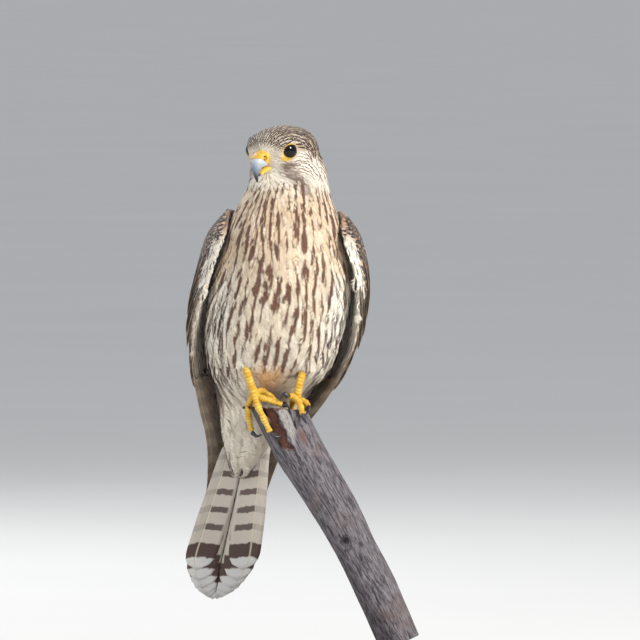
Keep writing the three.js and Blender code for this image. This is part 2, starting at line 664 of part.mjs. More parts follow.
// Bill, cere, eyes and the bare rings round them
const upper = inHead(billSolid(UPPER_BILL));
const cereLine = vec(29.4, 0, -0.8).applyMatrix4(HEAD_FRAME);
const cereWay = vec(0.57, 0, -0.82).transformDirection(HEAD_FRAME);
const [billUpper, cere] = part(upper, cereLine, cereWay);
const billLower = inHead(billSolid(LOWER_BILL)).subtract(grown(upper));
let head = headPart.subtract(grown(upper)).subtract(grown(billLower));
for (const side of [-1, 1]) {
  const name = side > 0 ? "left" : "right";
  const lid = lidRing(side);
  head = head.subtract(inHead(grown(lid.hull(), 0.5))).subtract(inHead(eyeBall(side, GAP)));
  set(`eye_${name}`, inHead(eyeBall(side)), "eye");
  set(`lid_${name}`, inHead(lid), "skin");
}
set("head", head, "plumage");
set("cere", cere.subtract(nostril(-1)).subtract(nostril(1)), "skin");
set("bill_upper", billUpper, "horn");
set("bill_lower", billLower, "horn");
set("neck", neckPart, "plumage");
set("torso", trunkPart, "plumage");
set("tail", rump.add(tailFan()), "tail");
set("perch", perch, "wood");
set("stand_base", baseSolid(), "base");
set("stand_rod", rodSolid(), "steel");

const kestrel = new THREE.Group();
for (const [name, { solid, material }] of parts) {
  const mesh = new THREE.Mesh(geometryOf(solid), new THREE.MeshStandardMaterial({ color: colours[material] }));
  mesh.name = name;
  kestrel.add(mesh);
}

export default kestrel;
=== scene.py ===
"""A common kestrel at rest on the broken end of a leaning branch, on a plain stand.

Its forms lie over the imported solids. They are worked out in millimetres in the frame of the solids and
become metres when a mesh is made.
"""
import math

import bmesh
import bpy
import numpy as np
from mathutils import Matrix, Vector
from mathutils.bvhtree import BVHTree


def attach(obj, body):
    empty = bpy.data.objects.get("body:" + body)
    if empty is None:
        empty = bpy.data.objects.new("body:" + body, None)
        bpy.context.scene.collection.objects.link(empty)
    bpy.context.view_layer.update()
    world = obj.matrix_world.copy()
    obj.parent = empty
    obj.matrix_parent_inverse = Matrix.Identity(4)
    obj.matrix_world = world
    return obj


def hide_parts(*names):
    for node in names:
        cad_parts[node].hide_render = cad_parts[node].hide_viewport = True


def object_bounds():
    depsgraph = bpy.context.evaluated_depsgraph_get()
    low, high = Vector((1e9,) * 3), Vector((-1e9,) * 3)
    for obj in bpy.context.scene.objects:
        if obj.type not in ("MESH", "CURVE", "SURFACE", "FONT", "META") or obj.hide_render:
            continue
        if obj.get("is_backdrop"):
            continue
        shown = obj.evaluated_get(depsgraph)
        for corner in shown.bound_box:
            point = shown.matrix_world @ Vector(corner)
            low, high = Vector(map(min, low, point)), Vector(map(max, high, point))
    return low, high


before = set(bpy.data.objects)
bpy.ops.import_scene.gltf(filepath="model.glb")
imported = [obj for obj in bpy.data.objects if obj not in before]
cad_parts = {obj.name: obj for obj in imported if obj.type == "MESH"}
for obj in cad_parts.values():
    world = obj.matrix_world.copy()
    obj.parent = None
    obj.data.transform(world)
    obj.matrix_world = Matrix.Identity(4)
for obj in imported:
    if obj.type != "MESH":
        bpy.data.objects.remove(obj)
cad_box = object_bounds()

MM = 0.001
SEED = 7
SIDE_NAMES = {-1: "right", 1: "left"}
random = np.random.default_rng(SEED)


def vec(*values):
    return np.array(values, float)


def unit(v):
    return v / np.maximum(np.linalg.norm(v, axis=-1, keepdims=True), 1e-12)


def full_turn(count):
    """Angles evenly round a circle."""
    return np.linspace(0, 2 * math.pi, count, endpoint=False)


def smoothstep(low, high, x):
    t = np.clip((x - low) / (high - low), 0, 1)
    return t * t * (3 - 2 * t)


def bell(*terms):
    """1 where every value is at its centre, falling off over its reach: terms of value, centre, reach."""
    return np.exp(-sum(((x - centre) / reach) ** 2 for x, centre, reach in terms))


def srgb(code):
    """A colour written as in a picture, in Blender's linear values."""
    c = np.array([int(code[i:i + 2], 16) for i in (0, 2, 4)]) / 255
    return np.where(c <= 0.04045, c / 12.92, ((c + 0.055) / 1.055) ** 2.4)


def along(rows, key):
    """Smooth values between the rows of a table whose first column rises."""
    last = len(rows) - 1
    i = 0
    while i < last - 1 and key > rows[i + 1][0]:
        i += 1
    low, high = rows[i], rows[i + 1]
    span = high[0] - low[0]
    u = min(max((key - low[0]) / span, 0), 1)
    out = []
    for c in range(1, len(low)):
        slopes = []
        for r in (i, i + 1):
            a, b = rows[max(r - 1, 0)], rows[min(r + 1, last)]
            slopes.append((b[c] - a[c]) / (b[0] - a[0]))
        out.append((2 * u ** 3 - 3 * u ** 2 + 1) * low[c] + (u ** 3 - 2 * u ** 2 + u) * span * slopes[0]
                   + (3 * u ** 2 - 2 * u ** 3) * high[c] + (u ** 3 - u ** 2) * span * slopes[1])
    return out


# Camera: level with the breast, a long way off, and the frame as wide as the photograph's at the bird

CAMERA_AIM = vec(2.56, 0, 222.7)
CAMERA_RISE = math.radians(2)
CAMERA_AWAY = 9000
FRAME_WIDTH = 409.6
SENSOR = 36


def make_camera():
    data = bpy.data.cameras.new("camera")
    data.sensor_width = SENSOR
    data.lens = SENSOR * CAMERA_AWAY / FRAME_WIDTH
    data.clip_end = 200.0
    camera = bpy.data.objects.new("camera", data)
    bpy.context.scene.collection.objects.link(camera)
    back = vec(0, -math.cos(CAMERA_RISE), math.sin(CAMERA_RISE))
    camera.location = Vector((CAMERA_AIM + back * CAMERA_AWAY) * MM)
    camera.rotation_euler = (math.pi / 2 - CAMERA_RISE, 0, 0)
    bpy.context.scene.camera = camera


make_camera()


# Materials

def operation(name, swapped=False):
    """What a sign between two numbers does: it makes a math node."""
    def apply(self, other):
        pair = (other, self) if swapped else (self, other)
        return self.shader.math(name, *pair)
    return apply


class Number:
    """A node's output, to be added and multiplied as a plain number is."""

    def __init__(self, shader, socket):
        self.shader, self.socket = shader, socket

    def __abs__(self):
        return self.shader.math("ABSOLUTE", self)

    __add__ = __radd__ = operation("ADD")
    __mul__ = __rmul__ = operation("MULTIPLY")
    __sub__ = operation("SUBTRACT")
    __rsub__ = operation("SUBTRACT", swapped=True)
    __truediv__ = operation("DIVIDE")


class Shader:
    """A Principled material and short calls for its nodes. Colours may be given as srgb codes."""

    def __init__(self, name, **sockets):
        self.material = bpy.data.materials.new(name)
        self.material.use_nodes = True
        self.tree = self.material.node_tree
        self.surface = self.tree.nodes["Principled BSDF"]
        for key, value in sockets.items():
            self.surface.inputs[key.replace("_", " ")].default_value = value

    def feed(self, socket, value):
        if isinstance(value, Number):
            self.tree.links.new(value.socket, socket)
        elif isinstance(value, str):
            socket.default_value = (*srgb(value), 1)
        else:
            socket.default_value = value

    def node(self, kind, inputs, output, **settings):
        node = self.tree.nodes.new(kind)
        for key, value in settings.items():
            setattr(node, key, value)
        for key, value in inputs.items():
            self.feed(node.inputs[key], value)
        return Number(self, node.outputs[output])

    def attribute(self, name, output="Fac"):
        return self.node("ShaderNodeAttribute", {}, output, attribute_name=name)

    def attributes(self, names, output="Fac"):
        return [self.attribute(name, output) for name in names.split()]

    def math(self, operation, a, b=0.0):
        return self.node("ShaderNodeMath", {0: a, 1: b}, 0, operation=operation)

    def ramp(self, value, low, high):
        """0 at low and 1 at high, smooth between, whichever of the two is larger."""
        return self.node("ShaderNodeMapRange", {"Value": value, "From Min": low, "From Max": high}, "Result",
                         interpolation_type="SMOOTHSTEP")

    def mix(self, share, a, b, blend="MIX"):
        return self.node("ShaderNodeMix", {0: share, 6: a, 7: b}, 2, data_type="RGBA", blend_type=blend)

    def place(self, scale=(1, 1, 1), where=None):
        where = where or self.node("ShaderNodeTexCoord", {}, "Object")
        return self.node("ShaderNodeMapping", {"Vector": where, "Scale": scale}, "Vector")

    def noise(self, scale, vector=None, detail=3.0):
        inputs = {"Scale": scale, "Detail": detail, "Vector": vector or self.place()}
        return self.node("ShaderNodeTexNoise", inputs, "Fac")

    def done(self, colour, height=None, distance=0.0, strength=1.0):
        """Gives the surface its colour and its fine relief."""
        self.feed(self.surface.inputs["Base Color"], colour)
        if height is not None:
            relief = {"Height": height, "Distance": distance, "Strength": strength}
            self.feed(self.surface.inputs["Normal"], self.node("ShaderNodeBump", relief, "Normal"))
        return self.material


def feather_material():
    """Small feathers: across is -1 to 1 and down is 0 at the root. The marks follow each feather's shaft."""
    s = Shader("plumage", Roughness=0.82, Sheen_Weight=0.25, Sheen_Roughness=0.5)
    across, down, seed, tone = s.attributes("across down seed tone")
    kind, width, lane, laned = s.attributes("kind streak lane laned")
    base, mark = s.attributes("base mark", "Color")
    aside = abs(across)
    wobble = (s.noise(900.0) - 0.5) * 0.3
    some = s.ramp(width, 0.02, 0.10)
    # A shaft streak that swells toward the end and closes in a point
    reach = width * s.ramp(down, 1.0, 0.78) * (down * 0.75 + 0.45)
    streak = s.ramp(aside + wobble - reach, 0.10, -0.08)
    # A chevron across the feather with a pale rim beyond it
    band = abs(down + aside * 0.32 + wobble - 0.80)
    chevron = s.ramp(band - width * 0.34, 0.05, -0.05)
    # Streaks in lanes down the breast, each feather's share a little aside, broken up along the lane
    shifted = lane + (seed - 0.5) * 0.46
    number = s.math("FLOOR", shifted)
    from_lane = abs(shifted - number - 0.5) * 2.0
    height = s.node("ShaderNodeSeparateXYZ", {0: s.place()}, 2)
    here = s.node("ShaderNodeCombineXYZ", {0: number * 7.31, 2: height * 52.0}, 0)
    lane_width = width * s.ramp(s.noise(1.0, here, 2.0), 0.32, 0.58) * (seed * 0.7 + 0.65)
    lane_streak = s.ramp(from_lane + wobble * 1.1 - lane_width, 0.20, -0.24) * s.ramp(lane_width, 0.05, 0.16)
    marks = s.mix(laned, s.mix(kind, streak, chevron), lane_streak) * some
    lighter = s.mix(seed * seed * 0.42, base, "f1e9dc")
    shaded = s.mix(1.0, lighter, tone * 0.34 + 0.82, "MULTIPLY")
    shaft = s.ramp(aside, 0.07, 0.02) * 0.25 * some
    return s.done(s.mix(shaft, s.mix(marks, shaded, mark), mark))


BAND_TO_BAR, BAR_SPACING = 25.6, 11.5


def vane_material(name):
    """A stiff feather: barred, darker toward the shaft, with fine barbs across it. Lengths are in mm."""
    s = Shader(name, Roughness=0.55, Sheen_Weight=0.12)
    across, down, length, seed, band = s.attributes("across down length seed band")
    barwidth, barring, plain_web, rim = s.attributes("barwidth barring plain_web rim")
    base, mark, tip, quill = s.attributes("base mark tip quill", "Color")
    aside = abs(across)
    end = (1.0 - down) * length
    slanted = end + (s.noise(330.0) - 0.5) * 2.6 + aside * 1.6
    place = (slanted - BAND_TO_BAR) / BAR_SPACING + seed
    off_bar = abs(place - s.math("FLOOR", place) - 0.5)
    barred = s.ramp(0.5 - off_bar, barwidth, barwidth * 0.6) * barring
    # The web away from the midline is paler, and bars stop short of the inner edge
    outer_web = s.ramp(across, 0.02, 0.10) * plain_web
    inner_rim = s.ramp(across, -0.80, -0.93) * plain_web
    barred = barred * (1.0 - s.math("MAXIMUM", outer_web * 0.72, inner_rim))
    barred = barred * (1.0 - band * s.ramp(end, 20.5, 19.0))
    # The broad dark band and the pale tip beyond it
    broad = s.ramp(slanted, 18.6, 17.4) * s.ramp(slanted, 8.2, 9.4) * band
    pale_tip = s.ramp(slanted, 9.0, 8.0) * band
    painted = s.mix(pale_tip, s.mix(s.math("MAXIMUM", barred, broad), base, mark), tip)
    painted = s.mix(s.ramp(aside, 0.86, 0.97) * rim, painted, tip)
    shaft = s.ramp(aside, 0.08, 0.03)
    barbs = s.math("SINE", (down * length - aside * 6.0) * 9.0)
    return s.done(s.mix(shaft * 0.7, painted, quill), barbs + shaft * 4.0, 0.00006)


def bare_skin_material():
    s = Shader("bare_skin", Roughness=0.42, Subsurface_Weight=0.10,
               Subsurface_Radius=(0.003, 0.0015, 0.0006))
    cells = s.node("ShaderNodeTexVoronoi", {"Scale": 1700.0, "Vector": s.place((1, 1, 0.7))}, "Distance",
                   feature="DISTANCE_TO_EDGE")
    colour = s.mix(s.ramp(s.noise(260.0), 0.3, 0.7), "e3ad2b", "f3cf58")
    # Darker in the seams between the scales; the groove attribute also carries painted shade in the
    # nostrils' pits and along the eye rings' openings.
    groove = s.math("MAXIMUM", s.ramp(cells, 0.10, 0.0) * 0.45, s.attribute("groove"))
    return s.done(s.mix(groove, colour, "8f5d1c"), s.ramp(cells, 0.0, 0.25), 0.00010)


def claw_material():
    s = Shader("claw_horn", Roughness=0.28)
    colour = s.mix(s.noise(300.0, s.place((1, 1, 3))), "17151a", "3c3a40")
    return s.done(colour, s.noise(1800.0, s.place((1, 1, 0.2))), 0.00004)


def bill_material():
    """Blue-grey horn, paler at the base and black toward the hook."""
    s = Shader("bill_horn", Roughness=0.3, Coat_Weight=0.25)
    place = s.attribute("reach") + (s.noise(420.0) - 0.5) * 0.25
    colour = s.mix(s.ramp(place, 0.05, 0.50), "c2c8cc", "7b8898")
    horn = s.mix(s.ramp(place, 0.42, 0.85), colour, "17181d")
    return s.done(s.mix(s.attribute("soft"), horn, "e9c04a"), s.noise(900.0, s.place((1, 1, 3))), 0.00003)


def eye_material():
    s = Shader("eye", Roughness=0.03, IOR=1.376)
    iris = s.mix(s.noise(2600.0) * 0.36, "1c0d0a", "33190f")
    return s.done(s.mix(s.ramp(s.attribute("pupil"), 0.80, 0.84), iris, "030303"))


BRANCH_LEAN = math.radians(27.7)


def bark_material():
    """Weathered grey bark whose grain runs along the leaning branch."""
    s = Shader("weathered_bark", Roughness=0.88)
    where = s.node("ShaderNodeTexCoord", {}, "Object")
    turned = s.node("ShaderNodeVectorRotate", {"Vector": where, "Axis": (0, 1, 0), "Angle": BRANCH_LEAN},
                    "Vector", rotation_type="AXIS_ANGLE")
    stretched = s.place((1, 1, 0.18), turned)
    grain = s.noise(820.0, stretched, 6.0)
    fibres = s.noise(2300.0, stretched, 4.0)
    patches = s.noise(45.0, turned, 4.0)
    grit = s.noise(1500.0, turned, 3.0)
    grey = s.mix(s.ramp(grain, 0.30, 0.66), "38343a", "827b80")
    grey = s.mix(s.ramp(patches, 0.5, 0.75) * 0.6, grey, "6d5a53")
    grey = s.mix(s.ramp(fibres, 0.58, 0.74) * 0.55, grey, "aea59f")
    grey = s.mix(s.ramp(grit, 0.42, 0.30) * 0.5, grey, "2c2727")
    wood = s.mix(s.ramp(fibres, 0.35, 0.65), "4d2f28", "86594a")
    pale = s.mix(s.ramp(fibres, 0.35, 0.65), "8c8785", "b9b3ae")
    # The darkest mark is the split and the rim line, and painted shade in the knot hole and on the trench's
    # sides.
    bare, silver, crack = s.attributes("bare silver crack")
    colour = s.mix(crack, s.mix(bare, s.mix(silver, grey, pale), wood), "1b1312")
    return s.done(colour, grain + (fibres * 0.45 + grit * 0.35), 0.0013, 0.9)


def base_wood_material():
    s = Shader("stand_wood", Roughness=0.38, Coat_Weight=0.15)
    rings = s.noise(38.0, s.place((0.12, 1, 0.6)), 5.0)
    pores = s.noise(900.0, s.place((0.04, 1, 1)), 3.0)
    colour = s.mix(s.ramp(rings, 0.35, 0.65), "2a1a12", "5b3a26")
    return s.done(s.mix(s.ramp(pores, 0.58, 0.7) * 0.5, colour, "190f0a"), pores, 0.00008)


def steel_material():
    s = Shader("stand_steel", Metallic=1.0, Roughness=0.32)
    brush = s.noise(900.0, s.place((1, 1, 0.03)), 2.0)
    return s.done(s.mix(brush, "8d9095", "c6c8cb"), brush, 0.00003)


def floor_material():
    s = Shader("pale_floor", Roughness=0.9)
    return s.done(s.mix(s.noise(3.0), "dededc", "e4e4e2"))


FEATHER = feather_material()
VANE = vane_material("flight_feathers")
TAIL_VANE = vane_material("tail_feathers")
BARE = bare_skin_material()
CLAW = claw_material()
BILL = bill_material()
EYE = eye_material()
BARK = bark_material()


# Mesh making

def set_layers(mesh, floats, colours=None, patch=None):
    """Numbers and colours for each point, and each corner's place on the bake map."""
    for key, values in floats.items():
        layer = mesh.attributes.new(key, "FLOAT", "POINT")
        layer.data.foreach_set("value", np.asarray(values, np.float32).ravel())
    for key, values in (colours or {}).items():
        layer = mesh.attributes.new(key, "FLOAT_COLOR", "POINT")
        rgba = np.hstack([values, np.ones((len(values), 1))])
        layer.data.foreach_set("color", rgba.astype(np.float32).ravel())
    if patch is not None:
        corners = np.empty(len(mesh.loops), np.int32)
        mesh.loops.foreach_get("vertex_index", corners)
        layer = mesh.uv_layers.new(name="OFBake")
        layer.data.foreach_set("uv", np.asarray(patch, np.float32)[corners].ravel())


def add_mesh(name, points, faces, material, floats=None, colours=None, patch=None):
    """One smooth object from arrays: points in mm, faces of equal size, and attributes per point."""
    points = np.asarray(points, np.float32).reshape(-1, 3)
    faces = np.asarray(faces, np.int32)
    mesh = bpy.data.meshes.new(name)
    mesh.vertices.add(len(points))
    mesh.vertices.foreach_set("co", (points * MM).ravel())
    mesh.loops.add(faces.size)
    mesh.loops.foreach_set("vertex_index", faces.ravel())
    mesh.polygons.add(len(faces))
    mesh.polygons.foreach_set("loop_start", np.arange(0, faces.size, faces.shape[1], dtype=np.int32))
    mesh.polygons.foreach_set("use_smooth", np.ones(len(faces), bool))
    set_layers(mesh, floats or {}, colours, patch)
    mesh.update(calc_edges=True)
    mesh.validate()
    mesh.materials.append(material)
    piece = bpy.data.objects.new(name, mesh)
    bpy.context.scene.collection.objects.link(piece)
    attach(piece, "root")
    return piece


def stands_for(piece, slot, *nodes):
    """Hides the solids that a piece is shown in place of. What it is made of, its slot, is not used."""
    for node in nodes:
        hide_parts(node)


def grid_faces(rows, cols, round_cols=False, round_rows=False):
    """Quads of a grid of points, closed round its columns or its rows where asked."""
    r, c = np.meshgrid(np.arange(rows - (not round_rows)), np.arange(cols - (not round_cols)), indexing="ij")
    below, beside = (r + 1) % rows, (c + 1) % cols
    corners = [r * cols + c, r * cols + beside, below * cols + beside, below * cols + c]
    return np.stack(corners, -1).reshape(-1, 4)


def loop(centre, turns, radius, side, up, flat=1.0):
    """Points round a centre, at angles from one direction toward another; flat squeezes the first."""
    return centre + (np.cos(turns) * radius * flat)[:, None] * side + (np.sin(turns) * radius)[:, None] * up


def capped(name, rings, material, floats=None):
    """A closed piece from rings of equal size, its ends drawn in to a point."""
    rings = np.asarray(rings, float)
    count, cols = rings.shape[:2]
    centres = np.repeat(rings.mean(1, keepdims=True), cols, 1)
    half = (rings + centres) / 2
    points = np.concatenate([centres[:1], half[:1], rings, half[-1:], centres[-1:]])
    spread = {}
    for key, values in (floats or {}).items():
        spread[key] = np.concatenate([values[:cols]] * 2 + [values] + [values[-cols:]] * 2)
    piece = add_mesh(name, points, grid_faces(count + 4, cols, True), material, spread)
    weld(piece)
    return piece


JOIN_WITHIN, SHORTEST_EDGE = 0.01, 0.001


def weld(piece):
    """Joins points that coincide and turns every face outward."""
    work = bmesh.new()
    work.from_mesh(piece.data)
    bmesh.ops.remove_doubles(work, verts=work.verts, dist=JOIN_WITHIN * MM)
    bmesh.ops.dissolve_degenerate(work, edges=work.edges, dist=SHORTEST_EDGE * MM)
    bmesh.ops.recalc_face_normals(work, faces=work.faces)
    work.to_mesh(piece.data)
    work.free()


def triples(rows, key):
    flat = np.empty(len(rows) * 3, np.float32)
    rows.foreach_get(key, flat)
    return flat.reshape(-1, 3)


def mesh_points(piece):
    return triples(piece.data.vertices, "co") / MM


def mesh_normals(piece):
    return triples(piece.data.vertex_normals, "vector")


def move_points(piece, points):
    piece.data.vertices.foreach_set("co", (points * MM).astype(np.float32).ravel())
    piece.data.update()


CURVE_STEPS = 24


def smooth_line(points, steps):
    """Points evenly placed along a smooth line through the given ones."""
    points = np.asarray(points, float)
    ends = np.vstack([2 * points[0] - points[1], points, 2 * points[-1] - points[-2]])
    fine = []
    for i in range(len(points) - 1):
        a, b, c, d = ends[i:i + 4]
        for u in np.linspace(0, 1, CURVE_STEPS, endpoint=False):
            fine.append(0.5 * (2 * b + (c - a) * u + (2 * a - 5 * b + 4 * c - d) * u ** 2
                               + (3 * b - a - 3 * c + d) * u ** 3))
    fine = np.array(fine + [points[-1]])
    run = run_along(fine)
    return np.stack([np.interp(np.linspace(0, run[-1], steps), run, fine[:, k]) for k in range(3)], 1)


def run_along(line):
    """How far each point of a line lies from its start, measured along it."""
    return np.concatenate([[0], np.cumsum(np.linalg.norm(np.diff(line, axis=0), axis=1))])


def sides_along(line, hint):
    """A side and an upward direction at each point of a line, as near the hint as may be."""
    ahead = unit(np.gradient(line, axis=0))
    up = unit(hint - ahead * (ahead @ hint)[:, None])
    return unit(np.cross(ahead, up)), up


def tube(name, points, hint, steps, cols, radius_at, material, flat=1.0):
    """A closed piece round a smooth line, with the radius told for each share of its length."""
    line = smooth_line(points, steps)
    side, up = sides_along(line, hint)
    turns = full_turn(cols)
    rings = [loop(line[i], turns, radius_at(i / (steps - 1)), side[i], up[i], flat) for i in range(steps)]
    return capped(name, rings, material)


# The trunk, the head and the legs, as the solids have them

MIDLINE = [
    (40, -65.4), (65, -61), (94, -54.7), (118, -49.5), (137, -45.4), (155, -39.2), (172, -34.5),
    (190, -30.5), (205, -27.8), (228, -24.5), (250, -21.5), (268, -20.8), (285, -20), (298, -19),
    (312, -17.6), (325, -18.8), (341, -20.5),
]
TRUNK = [
    (118, 2, 28, 36), (125, 8, 22, 42), (140, 15, 14.5, 45), (155, 23, 12.5, 46), (166, 29, 12, 45.5),
    (172, 31, 6, 45), (178, 33, -4, 44.4), (185, 35.5, -14, 43.5), (192, 38, -22.5, 42.5),
    (205, 41.5, -34, 41), (228, 43.5, -43, 39), (250, 42, -46, 37), (268, 39, -43.5, 34),
    (285, 36, -38, 30), (298, 31, -33, 26), (310, 26.6, -28.5, 23), (318, 26, -23, 22.5),
    (325, 24.6, -16, 21.5), (332, 21, -10, 19), (337, 14.5, -4, 15), (340, 6, 2, 10),
]
HEAD_AT = vec(-23.9, -7, 334.9)
HEAD_YAW, HEAD_PITCH = math.radians(32), math.radians(13)
HEAD_AHEAD = vec(-math.sin(HEAD_YAW) * math.cos(HEAD_PITCH), -math.cos(HEAD_YAW) * math.cos(HEAD_PITCH),
                 -math.sin(HEAD_PITCH))
HEAD_LEFT = vec(math.cos(HEAD_YAW), -math.sin(HEAD_YAW), 0)
HEAD_UP = np.cross(HEAD_AHEAD, HEAD_LEFT)
HEAD_AXES = np.stack([HEAD_AHEAD, HEAD_LEFT, HEAD_UP])
EYE_RADIUS = 6.6
EYE_AT = vec(9.2, 11.6, -1.1)
EYE_DIRECTION = unit(vec(0.45, 0.89, 0.03))
# How far the skull swells or sinks, where, and over what reach: brow, eye socket, lore, cheek, ear and nape
SKULL_SWELLS = [
    (1.7, (12.5, 15, 6.5), (8, 6, 3.2)), (-1.8, (13, 17, -1.5), (6, 5, 5)), (1.5, (16.5, 12, -1), (5, 4, 5)),
    (3.2, (-7, 19, -9), (11, 9, 8.5)), (3.4, (-15, 16, -6), (9, 9, 9)), (1.8, (-21, 0, -4), (9, 14, 10)),
]


def midline(z):
    """Where the trunk's middle lies at a height, or at each of several heights."""
    if np.ndim(z):
        return np.array([midline(h) for h in z])
    return along(MIDLINE, z)[0]


def from_head(points):
    return np.asarray(points, float) @ HEAD_AXES + HEAD_AT


def to_head(points):
    return (np.asarray(points, float) - HEAD_AT) @ HEAD_AXES.T


def skull_points(direction):
    """The skull's surface in each direction from its middle, in the head's own axes."""
    x, y, z = direction.T
    taper = 1 - 0.42 * np.maximum(x, 0) ** 3
    p = np.stack([x * np.where(x > 0, 24, 25), y * 21.5 * taper, z * np.where(z > 0, 12.9, 21)])
    folded = p[0], np.abs(p[1]), p[2]
    rise = sum(height * bell(*zip(folded, centre, reach)) for height, centre, reach in SKULL_SWELLS)
    return p.T + direction * rise[:, None]


LEGS = {
    "right": {
        "shank": [(-46.5, -12, 206), (-45.6, -17, 198), (-44, -19.5, 190), (-41.5, -18.5, 182),
                  (-39.4, -16, 176)],
        "thigh": [(-44, 2, 226), (-47, -8, 212), (-46.5, -15, 201), (-44.6, -19, 191.5)],
        "toes": {
            "hallux": [(-38.5, -13.5, 176.5), (-35, -9, 177.5), (-30.5, -7, 175), (-26.5, -6.5, 171.5),
                       (-24, -6, 169.2)],
            "inner": [(-39, -16.5, 175.5), (-34.5, -18.5, 173.5), (-30, -18.8, 172.2), (-25.5, -18, 170.6),
                      (-21.8, -17.5, 169.2)],
            "middle": [(-39.2, -17, 175), (-37.4, -20.5, 169), (-34.6, -21.8, 163), (-32, -21.4, 157.5),
                       (-29.4, -21, 152)],
            "outer": [(-40.2, -15, 175), (-42.6, -11.5, 169.5), (-43.2, -9, 163.5), (-42.4, -8, 157.5),
                      (-41.2, -8.2, 152)],
        },
        "claws": {
            "hallux": [(-22.8, -5.8, 168.6), (-20, -5.4, 169.6), (-17.6, -5, 167)],
            "inner": [(-20.8, -17.5, 168.9), (-18, -18.2, 168.4), (-16.2, -19, 165.4)],
            "middle": [(-28.8, -21, 150.9), (-25.6, -21.8, 148.6), (-21.6, -20.4, 149.8)],
            "outer": [(-40.9, -8.6, 150.9), (-38, -10.2, 148.8), (-34.4, -12.4, 149.9)],
        },
    },
    "left": {
        "shank": [(-5, -8, 202), (-6.8, -12.5, 195), (-9.3, -15.5, 187), (-11.3, -14.5, 179),
                  (-12.4, -12, 172.6)],
        "thigh": [(1, 2, 226), (-0.5, -5, 211), (-4, -11, 199), (-8.8, -15, 189)],
        "toes": {
            "hallux": [(-12.6, -10, 172.2), (-13.4, -4, 171.8), (-14.4, 2, 170.6), (-15.2, 7.5, 168.8),
                       (-15.6, 12, 164.6)],
            "inner": [(-12.8, -13, 172.4), (-14, -16.5, 173.8), (-15.6, -18.6, 174.8),
                      (-17.3, -19.8, 174.6)],
            "middle": [(-12, -13, 171.8), (-10.8, -17, 170.4), (-9.6, -19.6, 167.4), (-8.6, -20.6, 163.4)],
            "outer": [(-11.6, -12, 171.8), (-9, -11.5, 171.4), (-6.8, -12.4, 170.4), (-5, -14, 168.2)],
        },
        "claws": {
            "hallux": [(-15.7, 12.6, 163.4), (-15.8, 14.2, 160.4), (-15.6, 12.4, 157)],
            "inner": [(-18.2, -20.2, 174.8), (-20.8, -21.4, 176), (-23, -21.6, 172.6)],
            "middle": [(-8.4, -20.9, 162.4), (-7.4, -21.6, 159.6), (-5.4, -19.6, 157)],
            "outer": [(-4.6, -14.6, 167.3), (-4.6, -16.6, 165.4), (-6.4, -17.6, 162.6)],
        },
    },
}
LEFTWARD, BACKWARD, UPWARD = np.eye(3)


# The skin: trunk, head and thighs grown together and drawn in by the depth of the coat

COAT_DEPTH = 1.7
VOXEL = 1.5
SOFTENING = 14
TRUNK_LOW, TRUNK_HIGH, TRUNK_STEP, TRUNK_COLS = 119, 340.5, 2.4, 72
SKULL_RINGS, SKULL_COLS = 40, 64


def trunk_form():
    turns = full_turn(TRUNK_COLS)
    rings = []
    for z in np.arange(TRUNK_LOW, TRUNK_HIGH, TRUNK_STEP):
        half, front, back = along(TRUNK, z)
        x = midline(z) + half * np.sin(turns)
        y = (front + back) / 2 - (back - front) / 2 * np.cos(turns)
        rings.append(np.stack([x, y, np.full(len(turns), z)], 1))
    return capped("trunk_form", rings, FEATHER)


def skull_form():
    rings = []
    turns = full_turn(SKULL_COLS)
    for tilt in np.linspace(0.05, math.pi - 0.05, SKULL_RINGS):
        direction = loop(math.cos(tilt) * UPWARD, turns, math.sin(tilt), LEFTWARD, BACKWARD)
        rings.append(from_head(skull_points(direction)))
    return capped("skull_form", rings, FEATHER)


def thigh_radius(share):
    return 15.5 - 9.5 * share ** 1.4


def skin_piece():
    skin = trunk_form()
    fuse(skin, skull_form())
    for name, leg in LEGS.items():
        thigh = tube(f"thigh_form_{name}", leg["thigh"], BACKWARD, 24, TRUNK_COLS, thigh_radius, FEATHER)
        fuse(skin, thigh)
    skin.name = "skin"
    remesh = skin.modifiers.new("remesh", "REMESH")
    remesh.mode, remesh.voxel_size, remesh.use_smooth_shade = "VOXEL", VOXEL * MM, True
    soften = skin.modifiers.new("soften", "SMOOTH")
    soften.factor, soften.iterations = 0.5, SOFTENING
    dressed = skin.evaluated_get(bpy.context.evaluated_depsgraph_get())
    mesh = bpy.data.meshes.new_from_object(dressed)
    skin.modifiers.clear()
    skin.data = mesh
    move_points(skin, mesh_points(skin) - mesh_normals(skin) * COAT_DEPTH)
    return skin


def fuse(target, other):
    """Puts the other piece's faces into the target's mesh."""
    count = len(target.data.vertices)
    points = np.vstack([mesh_points(target), mesh_points(other)])
    faces = [tuple(p.vertices) for p in target.data.polygons]
    faces += [tuple(v + count for v in p.vertices) for p in other.data.polygons]
    mesh = bpy.data.meshes.new("fused")
    mesh.from_pydata([tuple(p * MM) for p in points], [], faces)
    mesh.materials.append(target.data.materials[0])
    target.data = mesh
    bpy.data.objects.remove(other)


# Where each part of the bird has which colour, mark and feather size

CREAM = srgb("e2d2b9")
WARM = srgb("d2ae84")
WHITE = srgb("f2ece0")
BROWN = srgb("694735")
DEEP = srgb("2a1a13")
RUFOUS = srgb("9c6238")
BUFF = srgb("c9af8a")
ORANGE = srgb("dda050")
MALAR = srgb("5e4636")
VENT = srgb("d9cebb")
RUMP = srgb("8d7a68")
FACE = srgb("efe5d3")
UNDER_EYE = srgb("7d6a58")

LANES = 38
TRUNK_GRID = np.array([[z, *along(TRUNK, z), midline(z)] for z in np.arange(118, 340, 1.0)])


def blend(a, b, share):
    share = np.asarray(share, float)[:, None]
    return a * (1 - share) + b * share


def trunk_at(z):
    """Half width, front, back and middle of the trunk at heights."""
    return [np.interp(z, TRUNK_GRID[:, 0], TRUNK_GRID[:, k]) for k in (1, 2, 3, 4)]


